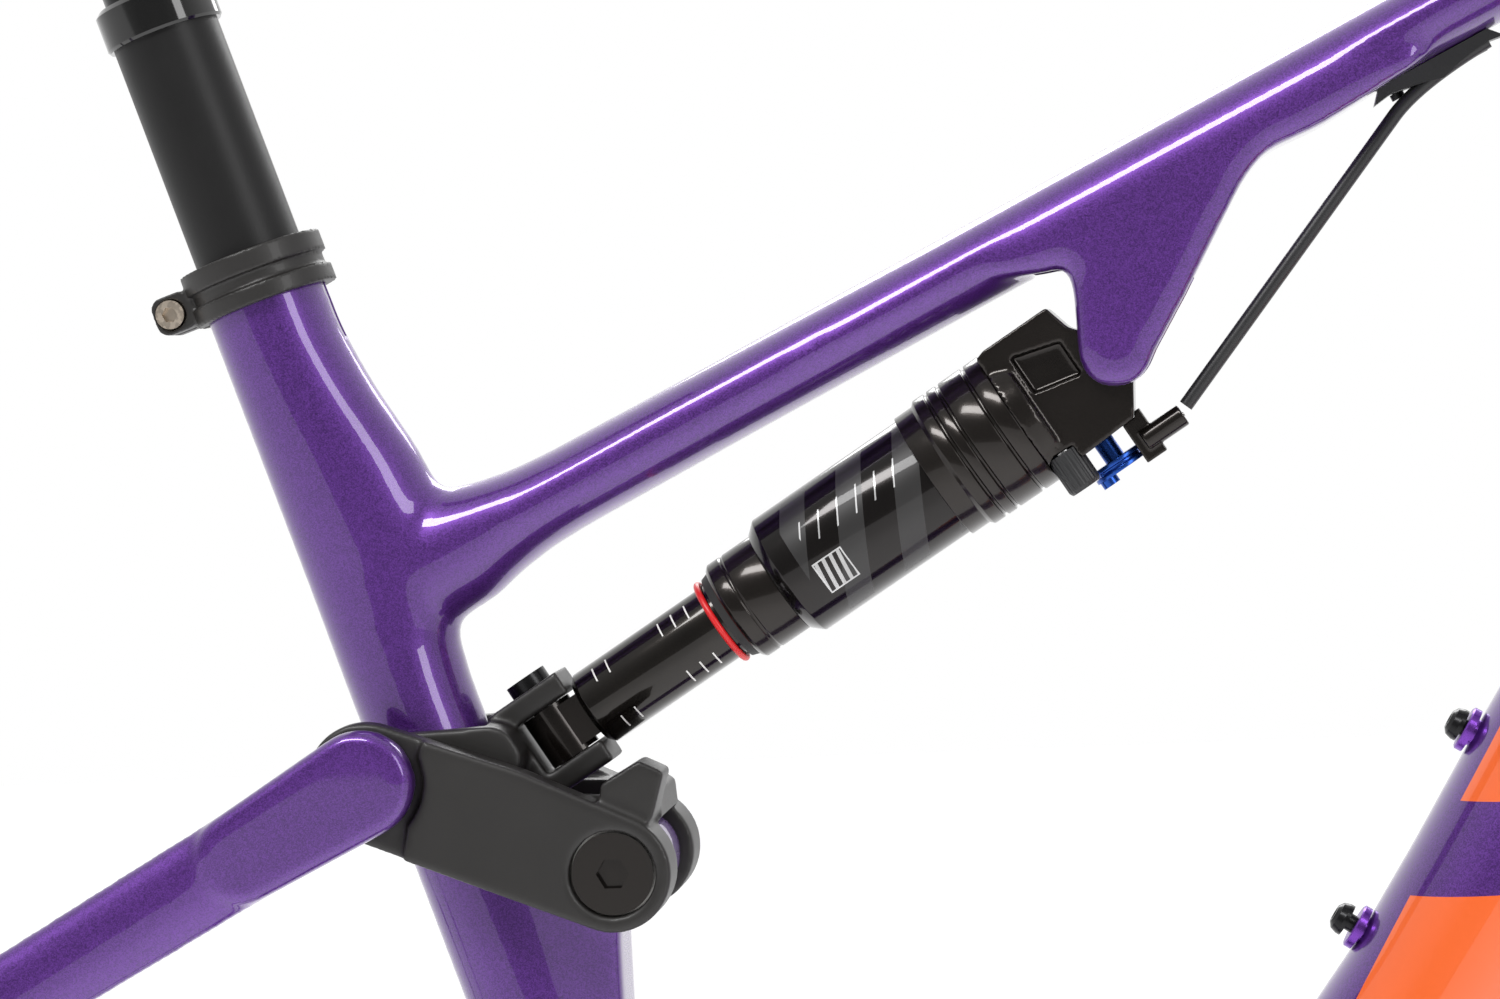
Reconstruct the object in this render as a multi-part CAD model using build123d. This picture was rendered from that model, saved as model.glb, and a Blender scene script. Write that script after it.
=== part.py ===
from build123d import *
import os
from math import cos, radians, sin, tan

# Full-suspension bicycle frame, millimetres.  +X forward, +Y left, +Z up, origin at the bottom
# bracket's centre.  Right (drive) side is -Y.  Every moving pivot runs along Y.

# ---- front frame -------------------------------------------------------------------------------
BB_WIDTH = 92.0
BB_BORE_R = 20.5
BB_WALL = 4.5
SEAT_LEAN = 18.2            # degrees that the seat tube leans back from vertical
SEAT_OFFSET = 46.0          # seat tube axis ahead of the bottom bracket, at its height
SEAT_TOP = 429.0            # along the seat axis from the bottom bracket's height
SEAT_FOOT = 30.0
SEAT_WALL = 1.75
TOP_SLOPE = 26.0            # degrees
TOP_HEIGHT = 343.0          # top tube axis above the bottom bracket
TOP_HALF_WIDTH = 19.5
TOP_HALF_DEPTH = 10.8
TOP_HEAD_HALF_DEPTH = 19.0
HEAD_ANGLE = 68.0
HEAD_X = 449.0
HEAD_Z = 549.0
HEAD_LENGTH = 100.0
HEAD_R = 28.5
HEADSET_UPPER_R = 20.95
HEADSET_LOWER_R = 26.0
HEADSET_DEPTH = 8.0
STEERER_R = 18.0
DOWN_BELLY = (254.0, 222.0)  # a point of the down tube's centreline
DOWN_HALF_WIDTH = 29.0
DOWN_HALF_DEPTH = 26.0
TUBE_WALL = 2.0

# ---- seatpost ----------------------------------------------------------------------------------
POST_R = 15.45
POST_CLEARANCE = 0.05
POST_BOTTOM = 205.0         # along the seat axis
COLLAR_BOTTOM = 501.0
COLLAR_LENGTH = 12.0
COLLAR_R = 17.1
STANCHION_R = 13.25
DROPPER_TRAVEL = 125.0
SADDLE_HEAD_HEIGHT = 30.0   # stanchion end to the rail centres
RAIL_R = 3.5
RAIL_SPACING = 44.0
RAIL_GRIP = 38.0

# ---- suspension --------------------------------------------------------------------------------
LINK_PIVOT = (10.8, 236.8)
STAY_PIVOT = (-57.7, 264.4)
SHOCK_TOP = (154.5, 374.0)
SHOCK_ANGLE = 31.9
SHOCK_LENGTH = 190.0
SHOCK_STROKE = 45.0
MAIN_PIVOT = (-28.0, 50.0)
REAR_AXLE = (-434.0, 30.0)
DROP_PIVOT = (-414.0, 67.0)
HUB_SPACING = 148.0
HUB_AXLE_R = 6.1

# ---- seat clamp and bottle bosses ---------------------------------------------------------------
CLAMP_HEIGHT = 15.0
CLAMP_WALL = 3.6
CLAMP_EAR = 12.0
CLAMP_BOLT_R = 2.5
CLAMP_LOW = SEAT_TOP - CLAMP_HEIGHT + 5.5
BOSS_INSERT_R = 4.0
BOTTLE_SPACING = 64.0
BOTTLE_MIDDLE = 345.0       # along the down tube, to the middle of the bottle bosses
BOTTLE_BOLT_R = 2.5

# ---- rear end ----------------------------------------------------------------------------------
STAY_BACK = HUB_SPACING / 2
CHAINSTAY_START = (-58.0, 46.0)
STAY_DROP_THICKNESS = 8.0
HANGER_THICKNESS = 7.0
HANGER_DROP = 28.0
BRIDGE_AT = 62.0            # from the stay pivot along the seatstays
BRAKE_AHEAD = 78.0          # middle of the brake pad ahead of the rear axle
BRAKE_Y = 66.0
BRAKE_TOP = 20.0            # the pad's upper face above the rear axle
BRAKE_WIDTH = 11.0
BRAKE_HOLES = 34.0          # between the bolts
BRAKE_BOLT_R = 2.5

# ---- fits --------------------------------------------------------------------------------------
RUNNING = 0.05              # radial clearance of a turning or sliding fit
SIDE_GAP = 0.4              # axial gap between parts that turn on each other
OPEN_PIVOT_GAP = 2.9        # radial room where the linkage is opened

# ---- pivots ------------------------------------------------------------------------------------
PIVOT_AXLE_R = 7.5
PIVOT_BEARING_R = 12.0
PIVOT_BEARING_WIDTH = 5.0
BOSS_R = 13.0
BOSS_HALF = 18.0
LINK_FRONT_INNER = BOSS_HALF + SIDE_GAP
LINK_BEARING_INNER = 26.0
LINK_OUTER = 36.5
LINK_FRONT_R = 16.3
LINK_REAR_R = 16.4
YOKE_INNER = 19.3
YOKE_OUTER = 25.5
LINK_REAR_INNER = YOKE_OUTER + SIDE_GAP
LINK_REAR_OUTER = 33.4
STAY_INNER = LINK_REAR_OUTER + SIDE_GAP
STAY_THICKNESS = 9.4
STAY_PIN_R = 6.0
STAY_BEARING_R = 10.5
STAY_END_R = 15.0
STAY_HALF_DEPTH = 12.9
MAIN_LUG_HALF = 23.0
MAIN_EYE_OUTER = 36.0
MAIN_BEARING_R = 14.0
MAIN_BEARING_WIDTH = 7.0
MAIN_EYE_R = 17.5
DROP_PLATE = 7.0
DROP_BOLT_R = 5.0
DROP_EYE_R = 12.0

# ---- shock, measured along its axis from the lower eye and out from the axis ---------------------
EYE_R = 7.6
EYE_HALF = 7.8
EYE_BOLT_R = 4.0
EAR_GAP_HALF = 8.0
EAR_HALF = 14.8
EAR_LENGTH = 9.8
THROAT = -8.4
SHAFT_R = 11.25
SHAFT_BORE_R = 9.6
SHAFT_START = 10.4
SHAFT_END = 103.0
WIPER_START = 57.6
CAN_START = 60.0
CAN_NECK_R = 15.4
CAN_NECK_END = 75.8
CAN_R = 18.6
CAN_BORE_R = 16.6
CAN_END = 134.0
COLLAR_CAN_R = 20.7
HEAD_START = 157.0
HEAD_HALF_WIDTH = 14.4
CHEEK_INNER = 15.2
CHEEK_OUTER = 20.4
CHEEK_R = 10.0
UPPER_BOLT_R = 4.0
UPPER_EYE_R = 9.0
RING_START = 54.6
SPOOL_S = 172.8
SPOOL_DEPTH = 24.6
SPOOL_R = 8.0
SPOOL_THICKNESS = 3.6
HOUSING_R = 2.0
BARREL_R = 2.9

HOUSING_CLEARANCE = 0.15
ROD_R = 4.0
HEAD_TOP = -20.8            # the forged head's upper face, below the shock's axis
HEAD_UNDER = 18.0
VALVE_R = 5.0
VALVE_CORE_R = 2.6
VALVE_AHEAD = 5.2           # of the valve ahead of the head's start
VALVE_Y = -10.5
VALVE_CAP_START = 15.0
BARREL_Y = -SPOOL_R + 1.2
BARREL_START = 184.6
BARREL_END = 195.5
LINK_HEAD_R = 11.4
LINK_HEAD_START = LINK_BEARING_INNER + PIVOT_BEARING_WIDTH + 0.1
LINK_HEAD_HEIGHT = 4.0
GUIDE_X = 240.0
GUIDE_LENGTH = 30.0
GUIDE_HALF_WIDTH = 6.0
GUIDE_CABLE_Y = -2.8        # the housing runs beside the guide's screws
GUIDE_SCREW_Y = 3.2
HOUSING_BEND = 14.0
STANCHION_TOP = COLLAR_BOTTOM + COLLAR_LENGTH + DROPPER_TRAVEL + 10
STANCHION_BOTTOM = POST_BOTTOM + DROPPER_TRAVEL + 12

os.makedirs("parts", exist_ok=True)


def side(x, z, y=0.0):
    """A point of the side view."""
    return Vector(x, y, z)


def along_y(y_low, y_high, outer, x, z, inner=0.0):
    """A disc or ring on an axis along Y."""
    height = y_high - y_low
    plane = Plane(origin=(x, y_low, z), x_dir=(1, 0, 0), z_dir=(0, 1, 0))
    ring = Cylinder(outer, height, align=(Align.CENTER, Align.CENTER, Align.MIN))
    if inner > 0:
        ring -= Cylinder(inner, height, align=(Align.CENTER, Align.CENTER, Align.MIN))
    return plane * ring


def both_sides(inner, outer, radius, x, z, bore=0.0):
    """The same disc or ring on the right and on the left."""
    right = along_y(-outer, -inner, radius, x, z, bore)
    left = along_y(inner, outer, radius, x, z, bore)
    return [right, left]


def plate(points, y_low, y_high):
    """A polygon of the side view, extruded from y_low to y_high."""
    wire = Polyline(*[side(x, z, y_low) for x, z in points], close=True)
    return extrude(make_face(wire), amount=y_high - y_low, dir=(0, 1, 0))


def turned(plane, points):
    """A solid turned about a plane's Z axis; points are (radius, height)."""
    outline = make_face(Polyline(*[(r, 0, h) for r, h in points], close=True))
    return plane * revolve(outline, Axis.Z)


def ellipse_on(point, direction, half_width, half_depth):
    """An ellipse across a tube; its first axis is along Y."""
    return Plane(origin=point, x_dir=(0, 1, 0), z_dir=direction) * Ellipse(half_width, half_depth)


def tube(stations, wall=0.0):
    """A loft through (point, direction, half width, half depth) stations, a wall inside them."""
    return loft([ellipse_on(p, d, w - wall, h - wall) for p, d, w, h in stations])


def one(shape):
    """The biggest solid of a cut, which is the part itself."""
    return max(shape.solids(), key=lambda solid: solid.volume)


# ---- reference directions ----------------------------------------------------------------------
LEAN = radians(SEAT_LEAN)
SEAT_UP = Vector(-sin(LEAN), 0, cos(LEAN))
SEAT_FORWARD = Vector(cos(LEAN), 0, sin(LEAN))
SEAT = Plane(origin=(SEAT_OFFSET, 0, 0), x_dir=SEAT_FORWARD, z_dir=SEAT_UP)
SEAT_R = POST_R + POST_CLEARANCE + SEAT_WALL

SHOCK_RISE = radians(SHOCK_ANGLE)
SHOCK_UP = Vector(cos(SHOCK_RISE), 0, sin(SHOCK_RISE))
SHOCK_DOWN = Vector(sin(SHOCK_RISE), 0, -cos(SHOCK_RISE))
SHOCK_EYE = side(*SHOCK_TOP) - SHOCK_UP * SHOCK_LENGTH
SHOCK = Plane(origin=SHOCK_EYE, x_dir=SHOCK_DOWN, z_dir=SHOCK_UP)

HEAD_TILT = radians(HEAD_ANGLE)
HEAD_UP = Vector(-cos(HEAD_TILT), 0, sin(HEAD_TILT))
HEAD_FORWARD = Vector(sin(HEAD_TILT), 0, cos(HEAD_TILT))
HEAD = Plane(origin=side(HEAD_X, HEAD_Z) - HEAD_UP * (HEAD_LENGTH / 2), x_dir=HEAD_FORWARD, z_dir=HEAD_UP)

TOP_RISE = radians(TOP_SLOPE)
TOP_ALONG = Vector(cos(TOP_RISE), 0, sin(TOP_RISE))
TOP_NORMAL = Vector(-sin(TOP_RISE), 0, cos(TOP_RISE))


def seat_point(height, forward=0.0, y=0.0):
    """A point placed from the seat tube's axis."""
    return SEAT.origin + SEAT_UP * height + SEAT_FORWARD * forward + Vector(0, y, 0)


def seat_xz(height, forward=0.0):
    point = seat_point(height, forward)
    return (point.X, point.Z)


def shock_point(along, below=0.0, y=0.0):
    """A point placed from the shock's lower eye, along its axis and below it."""
    return SHOCK_EYE + SHOCK_UP * along + SHOCK_DOWN * below + Vector(0, y, 0)


def shock_xz(along, below=0.0):
    point = shock_point(along, below)
    return (point.X, point.Z)


def top_point(x, offset=0.0, y=0.0):
    """A point on the top tube's axis at x, moved square to it."""
    return side(x, TOP_HEIGHT + x * tan(TOP_RISE)) + TOP_NORMAL * offset + Vector(0, y, 0)


def top_xz(x, offset=0.0):
    point = top_point(x, offset)
    return (point.X, point.Z)


def hull_plate(circles, y_low, y_high):
    """The outline stretched round circles (x, z, radius), extruded along Y."""
    sketch = Sketch() + [Pos(x, -z) * Circle(r) for x, z, r in circles]
    outline = make_hull(sketch.edges())
    plane = Plane(origin=(0, y_low, 0), x_dir=(1, 0, 0), z_dir=(0, 1, 0))
    return plane * extrude(outline, amount=y_high - y_low)


def on_seat(outer, low, high, inner=0.0):
    """A ring or disc on the seat axis."""
    points = [(inner, low), (outer, low), (outer, high), (inner, high)]
    return turned(SEAT, points)


def on_shock(points):
    return turned(SHOCK, points)


# ---- front frame -------------------------------------------------------------------------------
def seat_tube_outer():
    return on_seat(SEAT_R, SEAT_FOOT, SEAT_TOP)


def down_path():
    belly = side(*DOWN_BELLY)
    head_end = HEAD.origin + HEAD_UP * 16
    return Spline(side(0, 0), belly, head_end, tangents=[side(0.93, 0.37), side(0.5, 0.866), side(0.63, 0.777)])


def down_stations():
    path = down_path()
    shapes = [(0.0, 30.0, 19.0), (0.12, 30.0, 21.0), (0.25, 1, 1), (0.38, 1, 1), (0.5, 1, 1), (0.64, 1, 1)]
    shapes += [(0.78, 1, 1), (0.9, 0.95, 0.98), (1.0, 0.85, 0.9)]
    stations = []
    for share, width, depth in shapes:
        half_width = width if width > 2 else width * DOWN_HALF_WIDTH
        half_depth = depth if depth > 2 else depth * DOWN_HALF_DEPTH
        stations.append((path @ share, path % share, half_width, half_depth))
    return stations


def down_tube_outer():
    return tube(down_stations())


def top_stations():
    seat_x = seat_point(SEAT_TOP * 0.74).X
    head_x = HEAD_X
    span = head_x - seat_x
    shares = [(0.0, 0.72, 15.0), (0.1, 0.8, 12.0), (0.2, 0.92, TOP_HALF_DEPTH), (0.5, 1.0, TOP_HALF_DEPTH)]
    shares += [(0.7, 1.0, TOP_HALF_DEPTH), (0.85, 1.1, 13.0), (1.0, 1.2, TOP_HEAD_HALF_DEPTH)]
    return [(top_point(seat_x + s * span), TOP_ALONG, w * TOP_HALF_WIDTH, h) for s, w, h in shares]


def top_tube_outer():
    return tube(top_stations())


def head_tube_outer():
    return turned(HEAD, [(0, 0), (HEAD_R + 1.5, 0), (HEAD_R + 1.5, 10), (HEAD_R - 2, 24),
                         (HEAD_R - 5, HEAD_LENGTH - 18), (HEAD_R - 3, HEAD_LENGTH - 8),
                         (HEAD_R - 3, HEAD_LENGTH), (0, HEAD_LENGTH)])


def bb_outer():
    return along_y(-BB_WIDTH / 2, BB_WIDTH / 2, BB_BORE_R + BB_WALL, 0, 0)


def make_head_tube():
    bore = turned(HEAD, [(0, 0), (HEADSET_LOWER_R, 0), (HEADSET_LOWER_R, HEADSET_DEPTH),
                         (STEERER_R + 4, HEADSET_DEPTH + 3), (STEERER_R, HEAD_LENGTH - HEADSET_DEPTH - 4),
                         (STEERER_R, HEAD_LENGTH - HEADSET_DEPTH), (HEADSET_UPPER_R, HEAD_LENGTH - HEADSET_DEPTH),
                         (HEADSET_UPPER_R, HEAD_LENGTH), (0, HEAD_LENGTH)])
    return one(head_tube_outer() - bore)


def cheek_outline():
    """Side view of the shock mount that hangs under the top tube."""
    x, z = SHOCK_TOP
    return [(x, z, CHEEK_R), (*top_xz(x + 33, -2), 8), (*top_xz(x - 4, -2), 8)]


def make_top_tube():
    solid = top_tube_outer()
    x, z = SHOCK_TOP
    cheeks = [hull_plate(cheek_outline(), low, high)
              for low, high in ((-CHEEK_OUTER, -CHEEK_INNER), (CHEEK_INNER, CHEEK_OUTER))]
    rib = plate([top_xz(x + 22, 0), top_xz(x + 46, 0), top_xz(x + 36, -16)], -CHEEK_INNER, CHEEK_INNER)
    solid = solid + cheeks[0] + cheeks[1] + rib
    solid -= tube(top_stations(), TUBE_WALL)
    solid -= along_y(-CHEEK_OUTER + 1.2, CHEEK_OUTER + 1, UPPER_BOLT_R + RUNNING, x, z)
    solid -= seat_tube_outer()
    solid -= head_tube_outer()
    return one(solid)


def make_down_tube():
    solid = down_tube_outer() - tube(down_stations(), TUBE_WALL)
    solid -= bb_outer()
    solid -= head_tube_outer()
    solid -= turned(HEAD, [(0, -60), (HEADSET_LOWER_R + 4, -60), (HEADSET_LOWER_R + 4, 10), (0, 10)])
    for place, direction in bottle_places():
        plane = Plane(origin=place, z_dir=direction)
        solid -= plane * Cylinder(BOSS_INSERT_R, 24)
    return one(solid)


def bottle_places():
    """Places and outward directions of the two bottle bosses on the down tube's upper side."""
    path = down_path()
    places = []
    for sign in (-1, 1):
        distance = BOTTLE_MIDDLE + sign * BOTTLE_SPACING / 2
        tangent = path.tangent_at(distance, position_mode=PositionMode.LENGTH)
        outward = Vector(-tangent.Z, 0, tangent.X)
        place = path.position_at(distance, position_mode=PositionMode.LENGTH)
        places.append((place + outward * DOWN_HALF_DEPTH, outward))
    return places


def fin_outline():
    """Side view of the web that carries the link pivot ahead of the seat tube."""
    x, z = LINK_PIVOT
    return [seat_xz(262, 12), seat_xz(249, 22), (x - 2, z + BOSS_R - 2), (x - 2, 168), seat_xz(150, 12), seat_xz(150, 0),
            seat_xz(262, 0)]


def make_seat_tube():
    x, z = LINK_PIVOT
    solid = seat_tube_outer() + plate(fin_outline(), -BOSS_HALF + 2, BOSS_HALF - 2)
    solid += along_y(-BOSS_HALF, BOSS_HALF, BOSS_R, x, z)
    solid -= on_seat(POST_R + POST_CLEARANCE, POST_BOTTOM - 40, SEAT_TOP)
    solid -= on_seat(SEAT_R - 2.5, SEAT_FOOT, POST_BOTTOM - 44)
    solid -= along_y(-BOSS_HALF, BOSS_HALF, PIVOT_AXLE_R + RUNNING, x, z)
    slot = Box(SEAT_WALL * 4, 2.4, 26, align=(Align.CENTER, Align.CENTER, Align.MAX))
    solid -= SEAT * (Pos(SEAT_R, 0, SEAT_TOP) * slot)
    solid -= down_tube_outer()
    solid -= bb_outer()
    return one(solid)


def make_bb_shell():
    x, z = MAIN_PIVOT
    lug = hull_plate([(x, z, MAIN_BEARING_R), (-8, 14, 12), (14, 12, 12)], -MAIN_LUG_HALF, MAIN_LUG_HALF)
    solid = lug + bb_outer()
    solid -= along_y(-BB_WIDTH / 2, BB_WIDTH / 2, BB_BORE_R, 0, 0)
    solid -= along_y(-MAIN_LUG_HALF, MAIN_LUG_HALF, PIVOT_AXLE_R + RUNNING, x, z)
    solid -= down_tube_outer() - bb_outer()
    solid -= seat_tube_outer() - bb_outer()
    return one(solid)


# ---- seat clamp --------------------------------------------------------------------------------
def clamp_bolt_place():
    """Distance behind the seat axis and height of the clamp bolt, which runs along Y."""
    return SEAT_R + CLAMP_WALL + 5.0, CLAMP_LOW + CLAMP_HEIGHT / 2 - 1.0


def make_seat_clamp_band():
    outer = SEAT_R + CLAMP_WALL
    band = on_seat(outer, CLAMP_LOW, CLAMP_LOW + CLAMP_HEIGHT, SEAT_R)
    lip = on_seat(SEAT_R, SEAT_TOP, CLAMP_LOW + CLAMP_HEIGHT, POST_R + 4 * POST_CLEARANCE)
    groove = on_seat(outer, CLAMP_LOW + 5.0, CLAMP_LOW + 9.0, outer - 1.4)
    behind, height = clamp_bolt_place()
    ears = Box(CLAMP_EAR, 15.0, CLAMP_HEIGHT - 4)
    ears = fillet(ears.edges().filter_by(Axis.Y), 3.5)
    solid = band + lip - groove + SEAT * (Pos(-behind + 1.0, 0, height) * ears)
    solid -= on_seat(SEAT_R, CLAMP_LOW - 1, SEAT_TOP)
    solid -= on_seat(POST_R + 4 * POST_CLEARANCE, CLAMP_LOW - 1, SEAT_TOP + 20)
    solid -= SEAT * (Pos(-behind, 0, height) * Box(24.0, 2.6, 40.0))
    point = seat_point(height, -behind)
    solid -= along_y(-10, 10, CLAMP_BOLT_R + RUNNING, point.X, point.Z)
    solid -= along_y(-10, -5.4, 4.3, point.X, point.Z)
    solid -= along_y(5.4, 10, 4.3, point.X, point.Z)
    return one(solid)


def socket_bolt(y_head, y_end, head_r, shank_r, x, z, head_height, socket_r):
    """A socket-head bolt along Y; its head's outer face is at y_head."""
    inward = 1 if y_end > y_head else -1
    low, high = sorted((y_head, y_head + inward * head_height))
    head = along_y(low, high, head_r, x, z)
    low, high = sorted((y_head + inward * head_height, y_end))
    bolt = head + along_y(low, high, shank_r, x, z)
    plane = Plane(origin=(x, y_head, z), x_dir=(1, 0, 0), z_dir=(0, inward, 0))
    socket = extrude(RegularPolygon(socket_r, 6), amount=head_height * 0.7)
    return bolt - plane * socket


def make_seat_clamp_bolt():
    behind, height = clamp_bolt_place()
    point = seat_point(height, -behind)
    return socket_bolt(-8.6, 7.2, 4.1, CLAMP_BOLT_R, point.X, point.Z, 3.2, 2.3)


# ---- rocker link -------------------------------------------------------------------------------
def link_axis_xz(distance, offset=0.0):
    """A point at a distance from the stay pivot towards the link pivot, moved up square to it."""
    ax, az = STAY_PIVOT
    bx, bz = LINK_PIVOT
    length = ((bx - ax) ** 2 + (bz - az) ** 2) ** 0.5
    ux, uz = (bx - ax) / length, (bz - az) / length
    return (ax + ux * distance - uz * offset, az + uz * distance + ux * offset)


def make_rocker_link():
    sx, sz = STAY_PIVOT
    lx, lz = LINK_PIVOT
    outline = [(sx, sz, LINK_REAR_R), (lx, lz, LINK_FRONT_R), (*link_axis_xz(40, 4.5), 13.5)]
    front_start = 48.0
    web = [(lx + 0.5, lz + 15.2), (lx + 1.5, lz + 21.0), (lx + 6.5, lz + 24.0), (lx + 12.0, lz + 20.5),
           (lx + 12.5, lz + 13.0)]
    horn = [(lx - 4, lz + 8), (lx - 2.5, lz + 24.5), (lx + 8.5, lz + 30.8), (lx + 15.5, lz + 27.5),
            (lx + 11.8, lz + 15.0), (lx + 6, lz + 8)]
    solid = plate(web, -LINK_FRONT_INNER - 1, LINK_FRONT_INNER + 1)
    thick = hull_plate([(*link_axis_xz(front_start + 9), 15.0), (lx, lz, LINK_FRONT_R), (*link_axis_xz(66, 3), 15)],
                       -LINK_BEARING_INNER, LINK_BEARING_INNER)
    thick += plate(horn, -LINK_OUTER + 2, -LINK_FRONT_INNER)
    thick -= plate([(-200, 100), (200, 100), (200, 400), (-200, 400)], -LINK_FRONT_INNER, LINK_FRONT_INNER)
    thick -= plate([link_axis_xz(front_start, -40), link_axis_xz(front_start, 40), link_axis_xz(0, 40),
                    link_axis_xz(0, -40)], -60, 60)
    solid += thick
    for low, high in ((-LINK_OUTER, -LINK_REAR_INNER), (LINK_REAR_INNER, LINK_OUTER)):
        solid += hull_plate(outline, low, high)
    recess = along_y(LINK_REAR_OUTER, LINK_OUTER + 1, LINK_REAR_R + 0.6, sx, sz)
    recess += plate([link_axis_xz(20, -40), link_axis_xz(18.6, -22), link_axis_xz(12, 13), link_axis_xz(12, 40),
                     link_axis_xz(-40, 40), link_axis_xz(-40, -40)], LINK_REAR_OUTER, LINK_OUTER + 1)
    solid -= recess
    solid -= mirror(recess, Plane.XZ)
    solid -= along_y(-60, 60, PIVOT_AXLE_R + 2.1, lx, lz)
    for ring in both_sides(LINK_BEARING_INNER, LINK_OUTER + 1, PIVOT_BEARING_R, lx, lz):
        solid -= ring
    solid -= along_y(-60, 60, STAY_PIN_R + 1.0, sx, sz)
    for ring in both_sides(LINK_REAR_INNER, LINK_REAR_INNER + PIVOT_BEARING_WIDTH, STAY_BEARING_R, sx, sz):
        solid -= ring
    return one(solid)


def make_link_bearings():
    x, z = LINK_PIVOT
    return both_sides(LINK_BEARING_INNER, LINK_BEARING_INNER + PIVOT_BEARING_WIDTH, PIVOT_BEARING_R, x, z,
                      PIVOT_AXLE_R + RUNNING)


def make_link_spacers():
    x, z = LINK_PIVOT
    return both_sides(BOSS_HALF, LINK_BEARING_INNER - 0.1, PIVOT_AXLE_R + 1.5, x, z, PIVOT_AXLE_R)


def make_link_axle():
    x, z = LINK_PIVOT
    outer = LINK_HEAD_START + LINK_HEAD_HEIGHT
    return socket_bolt(-outer, LINK_HEAD_START, LINK_HEAD_R, PIVOT_AXLE_R, x, z, LINK_HEAD_HEIGHT, 4.6)


def make_link_axle_cap():
    x, z = LINK_PIVOT
    outer = LINK_HEAD_START + LINK_HEAD_HEIGHT
    cap = along_y(LINK_HEAD_START, outer, LINK_HEAD_R, x, z)
    plane = Plane(origin=(x, outer, z), x_dir=(1, 0, 0), z_dir=(0, -1, 0))
    return cap - plane * extrude(RegularPolygon(4.6, 6), amount=2.8)


def make_stay_bearings():
    x, z = STAY_PIVOT
    return both_sides(LINK_REAR_INNER, LINK_REAR_INNER + PIVOT_BEARING_WIDTH, STAY_BEARING_R, x, z,
                      STAY_PIN_R + RUNNING)


def make_stay_pins():
    x, z = STAY_PIVOT
    return both_sides(YOKE_INNER + 0.2, STAY_INNER + 6.5, STAY_PIN_R, x, z)


# ---- yoke, shock shaft and its parts -----------------------------------------------------------
def make_yoke():
    sx, sz = STAY_PIVOT
    arm_x, arm_z = shock_xz(-17.0, -5.0)
    arms = hull_plate([(sx, sz, STAY_PIN_R + OPEN_PIVOT_GAP + 3.0), (arm_x, arm_z, 9.0)], -YOKE_OUTER, YOKE_OUTER)
    block = Box(2 * EAR_HALF, 22.0, EAR_LENGTH + 22.0, align=(Align.CENTER, Align.CENTER, Align.MAX))
    block = SHOCK * (Pos(0, 0, EAR_LENGTH) * block)
    body = arms + block
    behind = seat_xz(150, SEAT_R + 1.4), seat_xz(420, SEAT_R + 1.4), seat_xz(420, -60), seat_xz(150, -60)
    body -= plate(list(behind), -YOKE_INNER, YOKE_INNER)
    front = [shock_xz(THROAT, -40), shock_xz(THROAT, 40), shock_xz(40, 40), shock_xz(40, -40)]
    body -= plate(front, -YOKE_OUTER - 1, -11.0)
    body -= plate(front, 11.0, YOKE_OUTER + 1)
    throat = [shock_xz(THROAT, -EAR_GAP_HALF), shock_xz(THROAT, EAR_GAP_HALF), shock_xz(40, EAR_GAP_HALF),
              shock_xz(40, -EAR_GAP_HALF)]
    body -= plate(throat, -YOKE_OUTER - 1, YOKE_OUTER + 1)
    body -= along_y(-60, 60, STAY_PIN_R + OPEN_PIVOT_GAP, sx, sz)
    across = Plane(origin=shock_point(0, -30), x_dir=(0, 1, 0), z_dir=SHOCK_DOWN)
    body -= across * Cylinder(EYE_BOLT_R, 70, align=(Align.CENTER, Align.CENTER, Align.MIN))
    return one(body)


def across_shock(radius, start, end, along=0.0, y=0.0, inner=0.0):
    """A disc or ring whose axis points down across the shock, from start to end below its axis."""
    plane = Plane(origin=shock_point(along, start, y), x_dir=(0, 1, 0), z_dir=SHOCK_DOWN)
    ring = Cylinder(radius, end - start, align=(Align.CENTER, Align.CENTER, Align.MIN))
    if inner > 0:
        ring -= Cylinder(inner, end - start, align=(Align.CENTER, Align.CENTER, Align.MIN))
    return plane * ring


def make_yoke_bolt():
    head = across_shock(6.2, -EAR_HALF - 3.6, -EAR_HALF)
    head -= Plane(origin=shock_point(0, -EAR_HALF - 3.6), x_dir=(0, 1, 0), z_dir=SHOCK_DOWN) * extrude(
        RegularPolygon(3.4, 6), amount=2.6)
    return head + across_shock(EYE_BOLT_R - 0.01, -EAR_HALF, EAR_HALF - 0.5)


def make_shock_eyelet():
    eye = across_shock(EYE_R, -EYE_HALF, EYE_HALF)
    neck = SHOCK * (Pos(0, 0, 3.0) * Box(13.0, 13.0, SHAFT_START - 3.0, align=(Align.CENTER, Align.CENTER, Align.MIN)))
    return one(eye + neck - across_shock(EYE_R - 2.4, -EYE_HALF, EYE_HALF))


def make_eyelet_bushing():
    return across_shock(EYE_R - 2.4, -EYE_HALF, EYE_HALF, inner=EYE_BOLT_R)


def make_shock_shaft():
    return on_shock([(0, SHAFT_START), (SHAFT_R - 1.6, SHAFT_START), (SHAFT_R, SHAFT_START + 1.6),
                     (SHAFT_R, SHAFT_END), (SHAFT_BORE_R, SHAFT_END), (SHAFT_BORE_R, SHAFT_START + 9), (0, SHAFT_START + 9)])


def make_air_piston():
    outer = CAN_BORE_R - RUNNING
    inner = ROD_R + RUNNING
    return on_shock([(inner, SHAFT_END - 5), (SHAFT_BORE_R, SHAFT_END - 5), (SHAFT_BORE_R, SHAFT_END),
                     (outer, SHAFT_END), (outer, SHAFT_END + 6), (inner, SHAFT_END + 6)])


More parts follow.
